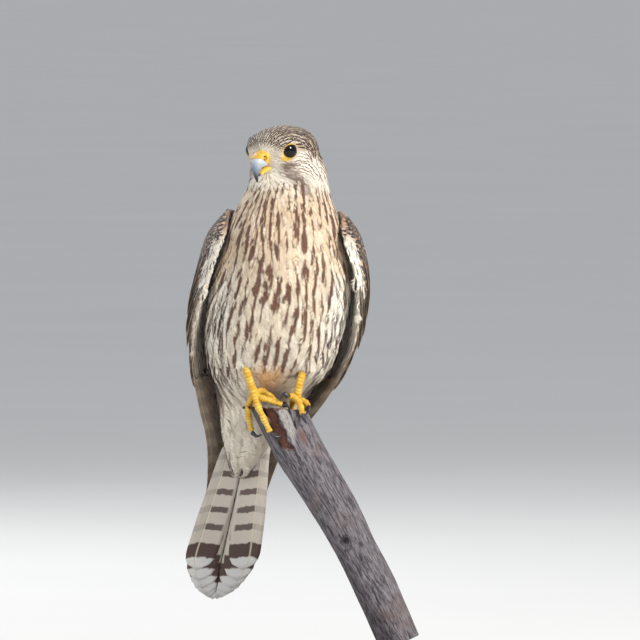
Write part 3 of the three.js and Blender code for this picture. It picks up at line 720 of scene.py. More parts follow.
def body_turn(points):
    """The angle of points round the trunk, 0 in front and positive to the bird's left."""
    half, front, back, centre = trunk_at(np.clip(points[:, 2], 119, 339))
    across = (points[:, 0] - centre) / half
    deep = (points[:, 1] - (front + back) / 2) / ((back - front) / 2)
    return np.arctan2(across, -deep)


def lanes(points):
    """Which of the breast's streaks a point lies in; they waver as they run down."""
    turn, z = body_turn(points), points[:, 2]
    waver = 0.24 * np.sin(z / 21 + 3 * turn) + 0.12 * np.sin(z / 8.5 + 7 * turn + 1)
    return turn / (2 * math.pi) * LANES + waver + 40


def markings(points, normals):
    """What the feathers at points look like.

    The ground colour, the mark's colour, width and kind (0 streak, 1 chevron), and the feather's length.
    """
    x, _, z = points.T
    a, b, c = to_head(points).T
    side = np.abs(b)
    turn = np.abs(np.degrees(body_turn(points)))
    front = smoothstep(0.25, -0.20, normals[:, 1])

    # Breast to belly: warm above, white high on the flanks, with the darkest marks lower on them
    flank = smoothstep(38, 62, turn)
    white = flank * smoothstep(208, 230, z) * smoothstep(272, 252, z)
    vent = smoothstep(182, 168, z)
    thigh_gap = bell((x, -29, 12), (z, 193, 9))
    ground = blend(CREAM, WARM, 0.55 * smoothstep(232, 290, z) * smoothstep(318, 300, z))
    ground = blend(ground, WHITE, white * 0.9)
    ground = blend(ground, WHITE, smoothstep(228, 200, z) * 0.5)
    ground = blend(ground, ORANGE, np.clip(thigh_gap * 1.2, 0, 0.8) * front)
    ground = blend(ground, VENT, vent)
    mark = blend(BROWN, DEEP, 0.45 * flank * smoothstep(272, 240, z))
    width = 0.56 - 0.22 * white - 0.10 * smoothstep(240, 215, z) * (1 - flank)
    width = width * (1 - smoothstep(203, 186, z))
    length = 13.0 + 4 * smoothstep(250, 215, z) + 3 * flank + 3 * vent

    # Back, mantle and rump: rufous, barred
    behind = (1 - front) * smoothstep(318, 292, z)
    ground = blend(ground, RUFOUS, behind)
    ground = blend(ground, RUMP, smoothstep(190, 165, z) * behind)
    mark = blend(mark, DEEP, behind)
    width = np.where(behind > 0.5, 0.42, width)
    kind = np.where(behind > 0.5, 1.0, 0.0)

    # Head
    on_head = smoothstep(306, 320, z)
    crown = smoothstep(1.5, 6, c + 0.25 * side - 0.12 * np.minimum(a, 0)) * on_head
    nape = smoothstep(-9, -17, a) * on_head
    face = smoothstep(8, 16, a) * on_head
    throat = smoothstep(-9, -13, c) * smoothstep(15, 9, side) * smoothstep(-6, 2, a) * on_head
    ground = blend(ground, WHITE, on_head * 0.75)
    ground = blend(ground, BUFF, crown)
    ground = blend(ground, BUFF, nape * 0.8)
    ground = blend(ground, FACE, face * 0.75)
    ground = blend(ground, WHITE, throat)
    mark = blend(mark, DEEP, crown * 0.75)
    width = width - 0.08 * smoothstep(278, 312, z)
    head_width = (0.22 + 0.46 * crown + 0.22 * nape) * (1 - 0.35 * face * (1 - crown))
    width = np.where(on_head > 0.5, head_width, width) * (1 - throat)
    # The dark stripe down from the front of the eye, the lines behind and below the eye, and the pale brow
    stripe = bell((a, 13.16 + 0.02 * c, 3.1)) * smoothstep(-7, -10, c) * smoothstep(-28, -21, c)
    ground = blend(ground, MALAR, np.clip(stripe * smoothstep(5, 9, side) * 1.3, 0, 0.92))
    eye_line = bell((c, -1.5, 2.2)) * smoothstep(7, 2, a) * smoothstep(-16, -6, a) * smoothstep(10, 14, side)
    ground = blend(ground, MALAR, eye_line * 0.35)
    ground = blend(ground, UNDER_EYE, bell((a, 13, 3.6), (c, -8.5, 2.0)) * smoothstep(7, 10, side) * 0.3)
    ground = blend(ground, WHITE, bell((a, 8, 10), (c, 5.5, 2.2)) * smoothstep(8, 11, side) * 0.7)

    # Feathers are shortest round the bill and before the eye, and short where the thigh ends
    from_bill = np.linalg.norm(np.stack([a - 23, b, c + 4], 1), axis=1)
    head_length = 2.8 + 6.6 * smoothstep(4, 40, from_bill)
    upward = smoothstep(296, 322, z)
    length = (length - 5.5 * smoothstep(262, 304, z)) * (1 - upward) + head_length * upward
    length = length - 1.6 * bell((a, 16.5, 3.5), (c, 1, 4)) * smoothstep(6, 9, side) * on_head
    from_thigh = np.abs(np.abs(x - trunk_at(z)[3]) - 14)
    length = length - 6 * smoothstep(206, 192, z) * smoothstep(9, 4, from_thigh) * front
    return ground, mark, width, kind, np.clip(length, 2.2, 26)


def flatten(flow, normals):
    """Directions turned into the surface."""
    return unit(flow - normals * (flow * normals).sum(1, keepdims=True))


def lie(points, normals):
    """The way the feathers point: away from the bill on the head, then down the body."""
    from_bill = points - from_head(vec(24, 0, -3))
    share = smoothstep(14, 46, np.linalg.norm(from_bill, axis=1))[:, None]
    flow = unit(unit(from_bill) * (1 - share) + vec(0, 0.12, -1) * share)
    x, _, z = points.T
    flow[:, 0] += np.sign(midline(np.clip(z, 41, 340)) - x) * smoothstep(225, 180, z) * 0.25
    return flatten(flow, normals)


# Small feathers, each a shaft line with barbs to both sides, laid on a surface

TRIES = 3
CLOSEST = 0.86
SHAFT_STATIONS = 5
BARB_SPACING = 0.8


def spread_over(piece, spacing_of, keep):
    """Random places on a surface, denser where the spacing is less, with their normals and spacing."""
    mesh = piece.data
    mesh.calc_loop_triangles()
    corners = np.empty(len(mesh.loop_triangles) * 3, np.int32)
    mesh.loop_triangles.foreach_get("vertices", corners)
    corners = corners.reshape(-1, 3)
    p = mesh_points(piece)[corners]
    area = np.linalg.norm(np.cross(p[:, 1] - p[:, 0], p[:, 2] - p[:, 0]), axis=1) / 2
    mid, out = p.mean(1), unit(mesh_normals(piece)[corners].mean(1))
    kept, spacing = keep(mid, out), spacing_of(mid, out)
    weight = area / spacing ** 2 * kept
    count = int(weight.sum() * TRIES)
    chosen = random.choice(len(corners), count, p=weight / weight.sum())
    share = random.random((count, 2))
    flip = share.sum(1) > 1
    share[flip] = 1 - share[flip]
    q = p[chosen]
    spots = q[:, 0] + (q[:, 1] - q[:, 0]) * share[:, :1] + (q[:, 2] - q[:, 0]) * share[:, 1:]
    return spots, out[chosen], spacing[chosen]


def scatter(piece, spacing_of, keep):
    """Points spread over a surface, no closer than the spacing asked there, with their normals."""
    spots, normals, room = spread_over(piece, spacing_of, keep)
    cells = (spots // float(room.max())).astype(int)
    around = [(dx, dy, dz) for dx in (-1, 0, 1) for dy in (-1, 0, 1) for dz in (-1, 0, 1)]
    taken, picked = {}, []
    for i, (x, y, z) in enumerate(cells.tolist()):
        near = [j for dx, dy, dz in around for j in taken.get((x + dx, y + dy, z + dz), ())]
        if near and (((spots[near] - spots[i]) ** 2).sum(1) < (room[i] * CLOSEST) ** 2).any():
            continue
        taken.setdefault((x, y, z), []).append(i)
        picked.append(i)
    return spots[picked], normals[picked]


def surface_tree(*pieces):
    points, faces = [], []
    for piece in pieces:
        start = len(points)
        points += [Vector(v) for v in mesh_points(piece)]
        faces += [tuple(start + v for v in f.vertices) for f in piece.data.polygons]
    return BVHTree.FromPolygons(points, faces)


def shafts(tree, feathers):
    """Shaft lines that follow the surface and rise from it toward the tip, with the surface's normals."""
    roots, flow, steps = feathers["root"], feathers["flow"], feathers["length"] / (SHAFT_STATIONS - 1)
    line, out = np.empty((2, len(roots), SHAFT_STATIONS, 3))
    for i, step in enumerate(steps):
        spot, way = roots[i], flow[i]
        for k in range(SHAFT_STATIONS):
            line[i, k], out[i, k] = tree.find_nearest(Vector(spot))[:2]
            way = unit(way - out[i, k] * (way @ out[i, k]))
            spot = line[i, k] + way * step
    share = np.linspace(0, 1, SHAFT_STATIONS)
    rise = share ** 0.8 - 0.10 - np.maximum(share - 0.75, 0)
    return line + out * (rise * feathers["lift"][:, None])[..., None], out


def coat(name, tree, feathers, unwrap, slot, *nodes):
    """One piece of small feathers.

    The arrays run over the feathers, their barbs, the two sides, outward along a barb, and its two edges.
    """
    line, out = shafts(tree, feathers)
    count = len(line)
    barbs = int(np.clip(round(float(np.median(feathers["length"])) / BARB_SPACING), 9, 20))
    shape, each_barb = (count, barbs, 2, 3, 2), (count, barbs, 2, 1, 1)

    def at(table, v):
        place = np.clip(v, 0, 1) * (SHAFT_STATIONS - 1)
        low = np.minimum(place.astype(int), SHAFT_STATIONS - 2)
        share = (place - low)[..., None]
        rows = np.arange(count)[:, None, None, None, None]
        return table[rows, low] * (1 - share) + table[rows, low + 1] * share

    barb = ((np.arange(barbs) + 0.5) / barbs)[:, None, None, None]
    u = np.array([0, 0.55, 1.0])[:, None]
    half = np.array([0.60, 0.50, 0.16])[:, None] / barbs
    v = barb * 0.92 + 0.16 * u ** 1.4 + half * np.array([-1, 1]) + random.normal(0, 0.014, each_barb)
    outline = np.sin(np.pi * barb ** 0.72) ** 0.62 * (1 + random.normal(0, 0.13, each_barb))
    across = np.array([-1.0, 1.0])[:, None, None] * u * outline + np.zeros(shape)
    width = feathers["half_width"][:, None, None, None, None]
    sideways = unit(np.cross(out[:, 0], feathers["flow"]))[:, None, None, None, None, :]
    cup = at(out, v) * (0.16 * across ** 2 * width)[..., None]
    points = (at(line, v) + sideways * (across * width)[..., None] - cup).reshape(-1, 3)
    base = np.arange(count * barbs * 2)[:, None] * 6
    quads = np.concatenate([base + (0, 1, 3, 2), base + (2, 3, 5, 4)])

    def each(values):
        """One value of every feather given to all its points."""
        return np.repeat(values, barbs * 2 * 6, 0)

    floats = {"across": across.ravel(), "down": np.clip(v, 0, 1).ravel(), "seed": each(random.random(count))}
    tone = 0.5 * random.random((count, 1, 1, 1, 1)) + 0.5 * random.random(each_barb) + np.zeros(shape)
    floats.update(tone=tone.ravel(), lane=lanes(points))
    floats.update({key: each(feathers[key]) for key in ("kind", "streak", "laned")})
    colours = {key: each(feathers[key]) for key in ("base", "mark")}
    local = np.stack([floats["across"] * 0.0014, (floats["down"] - 0.5) * 0.003], 1)
    piece = add_mesh(name, points, quads, FEATHER, floats, colours, each(unwrap(feathers["root"])) + local)
    stands_for(piece, slot, *nodes)


def body_unwrap(points):
    """A place in the unit square for each root: round the midline and up the height."""
    x, y, z = points.T
    turn = np.arctan2(x - midline(np.clip(z, 41, 340)), 2 - y) / (2 * math.pi) + 0.5
    return 0.02 + 0.96 * np.stack([turn, np.clip((z - 110) / 250, 0, 1)], 1)


# The opening between the lids is longer than high; the bare ring is widest toward the corner of the mouth
LID_LONG, LID_HIGH = 5.05, 4.2


def lid_edges(turn):
    """Inner and outer radius of the ring at an angle from the bill's side upward."""
    inner = LID_LONG * LID_HIGH / np.sqrt((LID_HIGH * np.cos(turn)) ** 2 + (LID_LONG * np.sin(turn)) ** 2)
    return inner, inner + 0.85 + 2.3 * np.maximum(np.cos(turn + 0.6), 0) ** 1.3


def bare_there(points):
    """Where the eyes, the cere and the bill leave no room for feathers."""
    a, b, c = to_head(points).T
    side = np.abs(b)
    offset = np.stack([a, side, c], 1) - EYE_AT
    up = unit(UPWARD - EYE_DIRECTION * EYE_DIRECTION[2])
    u, v = offset @ np.cross(EYE_DIRECTION, up), offset @ up
    eye = (np.hypot(u, v) < lid_edges(np.arctan2(v, u))[1] - 0.5) & (side > 8)
    bill = (a > 18.5) & (side < 5.4) & (c > -12) & (c < 2.4)
    gape = (a > 16.5) & (side < 6.2) & (c > -10.2) & (c < -6.5)
    brow = (c > 0.2) & (a < 21.5)
    return eye | gape | (bill & ~brow)


def dress_body(skin, cores):
    def spacing_of(p, n):
        return 0.31 * markings(p, n)[4] ** 0.92 + 0.2

    def keep(p, _):
        return ~bare_there(p)

    roots, normals = scatter(skin, spacing_of, keep)
    ground, mark, streak, kind, length = markings(roots, normals)
    flow = lie(roots, normals)
    turn = np.abs(np.degrees(body_turn(roots)))
    z = roots[:, 2]
    # The flank feathers puff out over the wing's edge, and the shoulder feathers lie across its bend
    flank = smoothstep(48, 72, turn) * smoothstep(118, 100, turn)
    flank = flank * smoothstep(192, 206, z) * smoothstep(282, 262, z)
    shoulder = smoothstep(50, 75, turn) * smoothstep(282, 292, z) * smoothstep(308, 300, z)
    flow[:, 0] += np.sign(roots[:, 0] - trunk_at(z)[3]) * (0.75 * shoulder + 0.16 * flank)
    flow = unit(flow + random.normal(0, 0.10, (len(roots), 1)) * np.cross(normals, flow))
    length = length * random.uniform(0.88, 1.12, len(roots)) * (1 + 0.25 * flank + 0.5 * shoulder)
    a, b, c = to_head(roots).T
    lores = bell((a, 16, 4.5), (np.abs(b), 10, 5), (c, 1, 5))
    feathers = {
        "root": roots, "flow": flow, "length": length, "half_width": length * 0.20,
        "lift": 0.32 + 0.075 * length + 4.2 * flank + 1.6 * lores,
        "base": ground, "mark": mark, "streak": streak, "kind": kind,
        "laned": smoothstep(322, 312, z) * (kind < 0.5) * smoothstep(188, 194, z),
    }
    front = roots[:, 1] < 2
    body, over_wings = surface_tree(skin), surface_tree(skin, *cores)
    groups = [
        ("coat_head", z > 318, body, ["head"]),
        ("coat_neck", (z <= 318) & (z > 278), over_wings, ["neck"]),
        ("coat_breast", (z <= 278) & (z > 232) & front, body, ["torso"]),
        ("coat_belly", (z <= 232) & (z > 182) & front, body, ["thigh_left", "thigh_right"]),
        ("coat_back", (z <= 278) & (z > 182) & ~front, body, []),
        ("coat_vent", z <= 182, body, []),
    ]
    for name, chosen, tree, nodes in groups:
        part = {key: values[chosen] for key, values in feathers.items()}
        coat(name, tree, part, body_unwrap, "plumage", *nodes)


def paint_plain(piece, ground, patch):
    """The look of a surface under the coat: one colour at each point and no marks."""
    count = len(piece.data.vertices)
    plain = {"across": 1.0, "down": 0.1, "seed": 0.4, "tone": 0.4}
    floats = {key: np.full(count, value) for key, value in plain.items()}
    set_layers(piece.data, floats, {"base": ground}, patch)


def paint_skin(skin):
    points, normals = mesh_points(skin), mesh_normals(skin)
    ground, mark = markings(points, normals)[:2]
    # The skin has the coat's colours with a quarter of the mark mixed in, painted a fifth darker as shade in
    # the gaps between feathers.
    paint_plain(skin, blend(ground, mark, np.full(len(points), 0.25)) * 0.8, body_unwrap(points))
    skin.data.polygons.foreach_set("use_smooth", np.ones(len(skin.data.polygons), bool))


# Folded wings

WING_LEADING = [
    (0, 291, 30.5, -14), (0.1, 271, 40.5, -26), (0.22, 245, 49, -25), (0.34, 219, 52.5, -16),
    (0.46, 194, 48.5, -4), (0.6, 165, 37, 20), (0.74, 134, 21.5, 43), (1, 72, 13, 62), (1.1, 48, 9, 68),
]
WING_TRAILING = [
    (0, 290, 22.5, 22), (0.1, 268, 22, 37.5), (0.22, 243, 17.5, 44), (0.34, 217, 12.5, 48.5),
    (0.46, 192, 8, 52), (0.6, 163, 6, 57), (0.74, 133, 5.5, 63), (1, 72, 4, 71), (1.1, 48, 4, 75),
]
WING_BULGE = [
    (0, 9, 5), (0.1, 14, 6.6), (0.22, 15, 6.6), (0.34, 14, 5.4), (0.42, 13, 3.6), (0.5, 10, 2.4),
    (0.6, 7, 1), (0.74, 3, 1), (1, 1, 1),
]
WING_CORE_END = 0.5
WING_LENGTH = 235
FEATHERS_ACROSS = [
    (0.3, 18), (0.5, 18), (0.57, 17.4), (0.61, 15.2), (0.68, 12.4), (0.74, 10.2), (0.82, 7.8),
    (0.9, 5.4), (0.95, 4.2), (1, 3.3), (1.1, 3),
]
FLIGHT_TIPS = [
    0.93, 1, 0.985, 0.95, 0.9, 0.86, 0.82, 0.78, 0.74, 0.71, 0.68, 0.655, 0.63, 0.61, 0.59, 0.57,
]
FLIGHT_ROOT = 0.40
PRIMARIES = 10
FEATHER_STEP = 1
VANE_THICKNESS = 0.5
VANE_ROWS, VANE_COLS = 22, 9


class WingSheet:
    """The folded wing's middle surface, worked out once on a fine grid of stations and read between them."""

    STEP = 0.01

    def __init__(self, side):
        self.side = side
        self.stations = np.arange(-0.02, 1.08, self.STEP)
        self.lead = self.edge(WING_LEADING)
        self.trail = self.edge(WING_TRAILING)
        self.bulge = np.array([along(WING_BULGE, max(s, 0)) for s in self.stations])

    def edge(self, rows):
        z, x, y = np.array([along(rows, s) for s in self.stations]).T
        return np.stack([midline(z) + self.side * x, y, z], 1)

    def read(self, table, s):
        place = np.clip((s - self.stations[0]) / self.STEP, 0, len(self.stations) - 1.001)
        low = place.astype(int)
        share = (place - low)[..., None]
        return table[low] * (1 - share) + table[low + 1] * share

    def flat(self, s, t):
        t = t[..., None]
        return self.read(self.lead, s) * (1 - t) + self.read(self.trail, s) * t

    def point(self, s, t):
        """The sheet and its outward direction at a station s and a share t from the leading edge."""
        s, t = np.broadcast_arrays(np.asarray(s, float), np.asarray(t, float))
        ahead = self.flat(s + 0.02, t) - self.flat(s - 0.02, t)
        out = unit(np.cross(ahead, self.read(self.trail - self.lead, s)) * self.side)
        bulge = self.read(self.bulge, s)[..., :1]
        return self.flat(s, t) + out * bulge * (4 * t * (1 - t))[..., None], out

    def chord(self, s):
        return np.linalg.norm(self.read(self.trail - self.lead, s), axis=-1)

    def thick(self, s):
        return self.read(self.bulge, s)[..., 1]


def vane_grid(power=1.0):
    """Places on a vane: down from 0 at the quill to 1 at the tip, and across from -1 to 1."""
    return np.meshgrid(np.linspace(0, 1, VANE_ROWS) ** power, np.linspace(-1, 1, VANE_COLS), indexing="ij")


class VaneSet:
    """Gathers stiff feathers, each a thin closed leaf, into one mesh with their attributes."""

    def __init__(self):
        self.points, self.faces, self.floats, self.colours, self.patches = [], [], {}, {}, []
        self.count = 0

    def add(self, middle, out, across, down, patch, floats, colours):
        """The middle surface, its outward direction, and the looks of its upper and under side."""
        edge = 1 - 0.85 * np.abs(across) ** 3
        shaft = 0.35 * bell((across, 0, 0.07)) * (1 - down)
        half = ((VANE_THICKNESS / 2) * edge + shaft)[..., None]
        flat = down.size
        faces = grid_faces(VANE_ROWS, VANE_COLS)
        ids = np.arange(flat).reshape(VANE_ROWS, VANE_COLS)
        border = np.concatenate([ids[0, :], ids[1:, -1], ids[-1, -2::-1], ids[-2:0:-1, 0]])
        following = np.roll(border, -1)
        rim = np.stack([border, border + flat, following + flat, following], 1)
        self.faces.append(np.concatenate([faces, faces[:, ::-1] + flat, rim]) + self.count)
        self.points.append(np.stack([middle + out * half, middle - out * half]).reshape(-1, 3))
        self.count += flat * 2
        for key, value in {"across": across, "down": down, **floats}.items():
            values = np.broadcast_to(value, down.shape).ravel()
            self.floats.setdefault(key, []).append(np.tile(values, 2))
        for key, pair in colours.items():
            self.colours.setdefault(key, []).append(np.repeat(pair, flat, 0))
        local = np.stack([across * 0.004, (down - 0.5) * 0.03], -1).reshape(-1, 2) + patch
        self.patches.append(np.concatenate([local, local + (0.0, 0.45)]))

    def piece(self, name, material, slot, *nodes):
        floats = {k: np.concatenate(v) for k, v in self.floats.items()}
        colours = {k: np.concatenate(v) for k, v in self.colours.items()}
        points, faces, patch = (np.concatenate(v) for v in (self.points, self.faces, self.patches))
        piece = add_mesh(name, points, faces, material, floats, colours, patch)
        stands_for(piece, slot, *nodes)


def vane_outline(down, rounding, root=0.10):
    """Half width of a stiff feather along its length: narrow at the quill, full, then a rounded end."""
    start = 0.35 + 0.65 * smoothstep(0, root, down)
    end = np.sqrt(np.maximum(1 - np.clip((down - (1 - rounding)) / rounding, 0, 1) ** 2.4, 0.0))
    return start * np.maximum(end, 0.04)


UPPER_DARK = srgb("4a352a")
UPPER_RUFOUS = srgb("97633d")
UNDER_PALE = srgb("bfae9a")
UNDER_DARK = srgb("75604f")
RIM = srgb("cdb796")
QUILL_DARK = srgb("2b1c14")
QUILL_PALE = srgb("e6d9c2")


def wing_vane(vanes, grid, surface, patch, upper, **floats):
    """One stiff feather of the wing: its colours above and below, without the tail's band and plain web."""
    down, across = grid
    colours = {"base": (upper, UNDER_PALE), "mark": (DEEP, UNDER_DARK), "tip": (RIM, RIM),
               "quill": (QUILL_DARK, QUILL_PALE)}
    vanes.add(*surface, across, down, patch, {"plain_web": 0.0, "band": 0.0, **floats}, colours)


def flight_feathers(sheet, vanes):
    for number, tip in enumerate(FLIGHT_TIPS):
        primary = number < PRIMARIES
        ahead, behind = (4.6, 7.6) if primary else (7, 8)
        down, across = vane_grid(0.85)
        s = FLIGHT_ROOT + down * (tip - FLIGHT_ROOT)
        spread = np.array([along(FEATHERS_ACROSS, max(x, 0.3)) for x in s[:, 0]])
        width = vane_outline(down, 0.16 if primary else 0.12)
        q = np.where(across < 0, ahead, behind) * across * width
        t = (number + 0.5) / spread + q / sheet.chord(s)
        middle, out = sheet.point(s, t)
        middle = middle + out * (FEATHER_STEP * (number + 0.5 - t * spread))[..., None]
        upper = UPPER_DARK if primary else UPPER_DARK * 0.35 + UPPER_RUFOUS * 0.65
        wing_vane(vanes, (down, across), (middle, out), (0.03 + 0.02 * number, 0.2), upper,
                  length=(tip - FLIGHT_ROOT) * WING_LENGTH, seed=number * 0.37 % 1,
                  barring=0.45 if primary else 0.9, barwidth=0.34, rim=0.8)


# Tiers of coverts: how many, where they start, first and last tip, first and last place across the wing,
# half a feather's width, and the height over the wing's form at the root and at the tip
COVERT_TIERS = [
    (11, 0.26, (0.5, 0.475), (0.16, 0.97), 4.6, (-1.2, 1.3)),
    (5, 0.32, (0.545, 0.515), (0.02, 0.2), 3.4, (-1.2, 1.5)),
    (11, 0.2, (0.405, 0.375), (0.13, 0.97), 4.6, (-0.8, 1.7)),
    (11, 0.11, (0.325, 0.295), (0.12, 0.97), 4.6, (-1.0, 1.9)),
    (3, 0.22, (0.42, 0.36), (-0.01, 0.11), 3.2, (-1.2, 2.6)),
]


def between(ends, share):
    return ends[0] + (ends[1] - ends[0]) * share


def covert_feathers(sheet, vanes):
    down, across = vane_grid()
    for level, (count, root, tips, span, half, lift) in enumerate(COVERT_TIERS):
        spacing = (span[1] - span[0]) / count
        for number in range(count):
            share = (number + 0.5) / count
            tip, centre = between(tips, share), between(span, share)
            s = root + down * (tip - root)
            aside = half * across * vane_outline(down, 0.3) / sheet.chord(s)
            middle, out = sheet.point(s, centre + aside)
            t = max(centre, 0.03)
            core = sheet.thick(s) * (1 - 0.65 * t) * 2 * math.sqrt(t * (1 - t))
            height = np.maximum(core, 2) + between(lift, down) - 0.8 * aside / spacing
            outer = max(0, 1 - centre / 0.3)
            upper = UPPER_RUFOUS * (1 - outer) + UPPER_DARK * outer
            place = (0.4 + 0.03 * number, 0.04 + 0.08 * level)
            wing_vane(vanes, (down, across), (middle + out * height[..., None], out), place, upper,
                      length=(tip - root) * WING_LENGTH, seed=(number * 0.31 + level * 0.17) % 1,
                      barring=0.9, barwidth=0.36, rim=0.6)


def wing_core(side, sheet):
    """The closed form under the small coverts."""
    name = SIDE_NAMES[side]
    turns = full_turn(48)
    rings = []
    for s in np.linspace(0, WING_CORE_END, 46):
        close = math.sqrt(1 - 0.85 * (1 - min(s / 0.1, 1)) ** 2)
        t = 0.5 - np.cos(turns) / 2 * close
        at, out = sheet.point(s, t)
        body = sheet.thick(s) * (1 - 0.65 * t) * np.sin(turns) * close
        rings.append(at + out * (body - np.sign(body) * 0.3)[:, None])
    core = capped(f"wing_skin_{name}", rings, FEATHER)
    stands_for(core, "wing_feathers", f"wing_{name}")
    return core


LESSER = srgb("b58a62")
EDGE = srgb("efe6d6")
EDGE_LOW = srgb("b8a894")
SPOT = srgb("4a372b")


def wing_markings(points, normals, side):
    """The lesser coverts: rufous with dark spots, white with small dots at the leading edge and beneath."""
    n = len(points)
    x, y, z = points.T
    edge_z, edge_x, edge_y = np.array([row[1:] for row in WING_LEADING])[::-1].T
    edge_x = midline(edge_z) + side * edge_x
    from_edge = np.hypot(x - np.interp(z, edge_z, edge_x), y - np.interp(z, edge_z, edge_y))
    inward = smoothstep(0.15, -0.35, normals[:, 0] * side) * smoothstep(282, 270, z)
    inward = inward * smoothstep(0.35, 0.0, normals[:, 1])
    near_edge = np.maximum(smoothstep(11, 5, from_edge) * smoothstep(285, 272, z), inward)
    near_edge = near_edge * smoothstep(22, 14, y)
    ground = blend(LESSER, EDGE, near_edge)
    ground = blend(ground, EDGE_LOW, near_edge * smoothstep(236, 216, z) * 0.75)
    spotted = random.random(n) < 0.42 * smoothstep(250, 268, z) * (1 - near_edge)
    ground = np.where(spotted[:, None], SPOT, ground)
    sparse = random.random(n) < 0.45
    width = np.where(near_edge > 0.5, np.where(sparse, 0.26, 0.0), 0.62)
    kind = (near_edge < 0.5).astype(float)
    length = 8.5 - 2.5 * near_edge - 3.2 * smoothstep(258, 278, z) + 4 * inward
    return ground, np.tile(DEEP, (n, 1)), width, kind, length


def wing_unwrap(points):
    _, y, z = points.T
    return 0.05 + 0.9 * np.stack([np.clip((y + 30) / 90, 0, 1), (z - 170) / 130], 1)


def dress_wing(side, sheet, core):
    """Stiff feathers from the trailing edge up to the shoulder, and small ones over the form above them."""
    name = SIDE_NAMES[side]
    vanes = VaneSet()
    flight_feathers(sheet, vanes)
    covert_feathers(sheet, vanes)
    vanes.piece(f"wing_vanes_{name}", VANE, "wing_feathers", f"wing_{name}")
    outside = unit(vec(side, 0.15, 0))
    beneath = unit(vec(side * 0.25, -1, 0))

    def spacing_of(p, n):
        return 0.42 * wing_markings(p, n, side)[4]

    def keep(p, n):
        z = p[:, 2]
        shoulder = (z > 262) & (n[:, 1] < 0.8)
        return ((n @ outside > -0.25) & (z > 208)) | ((n @ beneath > -0.35) & (z > 186)) | shoulder

    roots, normals = scatter(core, spacing_of, keep)
    ground, mark, streak, kind, length = wing_markings(roots, normals, side)
    down = vec(-0.10 * side, 0.18, -1) + vec(side * 0.9, 0, 0) * smoothstep(278, 290, roots[:, 2:])
    length = length * random.uniform(0.9, 1.1, len(roots))
    feathers = {
        "root": roots, "flow": flatten(down, normals), "length": length, "half_width": length * 0.36,
        "lift": 0.3 + 0.09 * length, "base": ground, "mark": mark, "streak": streak, "kind": kind,
        "laned": np.zeros(len(roots)),
    }
    coat(f"wing_coat_{name}", surface_tree(core), feathers, wing_unwrap, "wing_feathers")
    points = mesh_points(core)
    ground = wing_markings(points, mesh_normals(core), side)[0]
    # The form under the coverts has their ground colour painted a quarter darker, as shade in the gaps
    # between feathers.
    paint_plain(core, ground * 0.75, wing_unwrap(points))


# Tail

TAIL_TIPS = [40.5, 41.6, 44, 48, 53, 60]
TAIL_TOP = 146
# The quill lies this far to the outer side of the vane's middle
SHAFT_AT = 0.42
TAIL_UNDER = srgb("d3c9bc")
TAIL_UNDER_BAR = srgb("54403a")
TAIL_UPPER = srgb("96623e")
TAIL_TIP = srgb("dfdedb")


def dress_tail():
    """Six feathers to each side; the middle pair lies on top of the rest, one over the other."""
    vanes = VaneSet()
    down, across = vane_grid(0.85)
    shape = (0.78 + 0.22 * np.clip(down / 0.6, 0, 1)) * vane_outline(down, 0.17, 0.02)
    web = (across - SHAFT_AT) / np.where(across < SHAFT_AT, 1 + SHAFT_AT, 1 - SHAFT_AT)
    colours = {"base": (TAIL_UPPER, TAIL_UNDER), "mark": (DEEP, TAIL_UNDER_BAR), "tip": (TAIL_TIP, TAIL_TIP),
               "quill": (QUILL_DARK, QUILL_PALE)}
    for side in SIDE_NAMES:
        for number, tip in enumerate(TAIL_TIPS):
            level = number + 1
            if number == 0 and side > 0:
                level = 0
            z = TAIL_TOP + (tip - TAIL_TOP) * down
            centre = (number + 0.5) / 5.5 * (6 + 8.5 * np.clip((150 - z) / 90, 0, 1))
            inner = 7 * shape if number == 0 else np.minimum(10 * shape, centre - 0.3)
            x = centre + np.where(across < 0, inner, 10.6 * shape) * across
            y = 37 + (150 - z) * 0.24 - level * FEATHER_STEP - 0.006 * x * x
            middle = np.stack([midline(z[:, 0])[:, None] + side * x, y, z], -1)
            place = (0.03 + 0.07 * number + (0.45 if side > 0 else 0), 0.25)
            floats = {"length": TAIL_TOP - tip, "seed": 0.5 + 0.05 * number, "barring": 0.9,
                      "barwidth": 0.21, "plain_web": 1.0, "band": 1.0, "rim": 0.0}
            vanes.add(middle, unit(vec(0, 0.97, 0.24)), web, down, place, floats, colours)
    vanes.piece("tail_vanes", TAIL_VANE, "tail_feathers", "tail")


# Bill, cere, eyes and the bare rings round them

# Stations: number, place ahead and up, how far the section leans over, half width, height above and below
UPPER_BILL = [
    (0, 17, -2.6, 0, 5.5, 4.6, 6), (1, 22, -3, 8, 5.0, 4.5, 6.0), (2, 24.9, -3.8, 20, 4.4, 4.1, 5.4),
    (3, 27.6, -5.4, 38, 3.6, 3.4, 4.4), (4, 29.4, -8, 58, 2.8, 2.7, 3.3), (5, 30.4, -11, 78, 1.9, 1.9, 2.2),
    (6, 30.4, -14.2, 96, 1.1, 1.1, 1.2), (7, 29.9, -17.2, 104, 0.3, 0.3, 0.3),
]
LOWER_BILL = [
    (0, 15, -10.4, 0, 4.2, 1.5, 2.2), (1, 20, -10.8, 4, 3.5, 1.3, 1.9), (2, 24, -11.5, 12, 2.7, 1, 1.6),
    (3, 26.6, -12.4, 24, 2.0, 0.7, 1.3), (4, 28.0, -13.2, 30, 0.8, 0.4, 0.5),
]
TOOTH_AT = 4.3
# The cere ends on a plane that slants back from the ridge to the corner of the mouth
CERE_LINE = vec(28.6, 0, -1.6)
CERE_WAY = unit(vec(0.57, 0, -0.82))
CERE_SWELL = 0.22
NOSTRIL = vec(24.2, 4.75, -2.6)


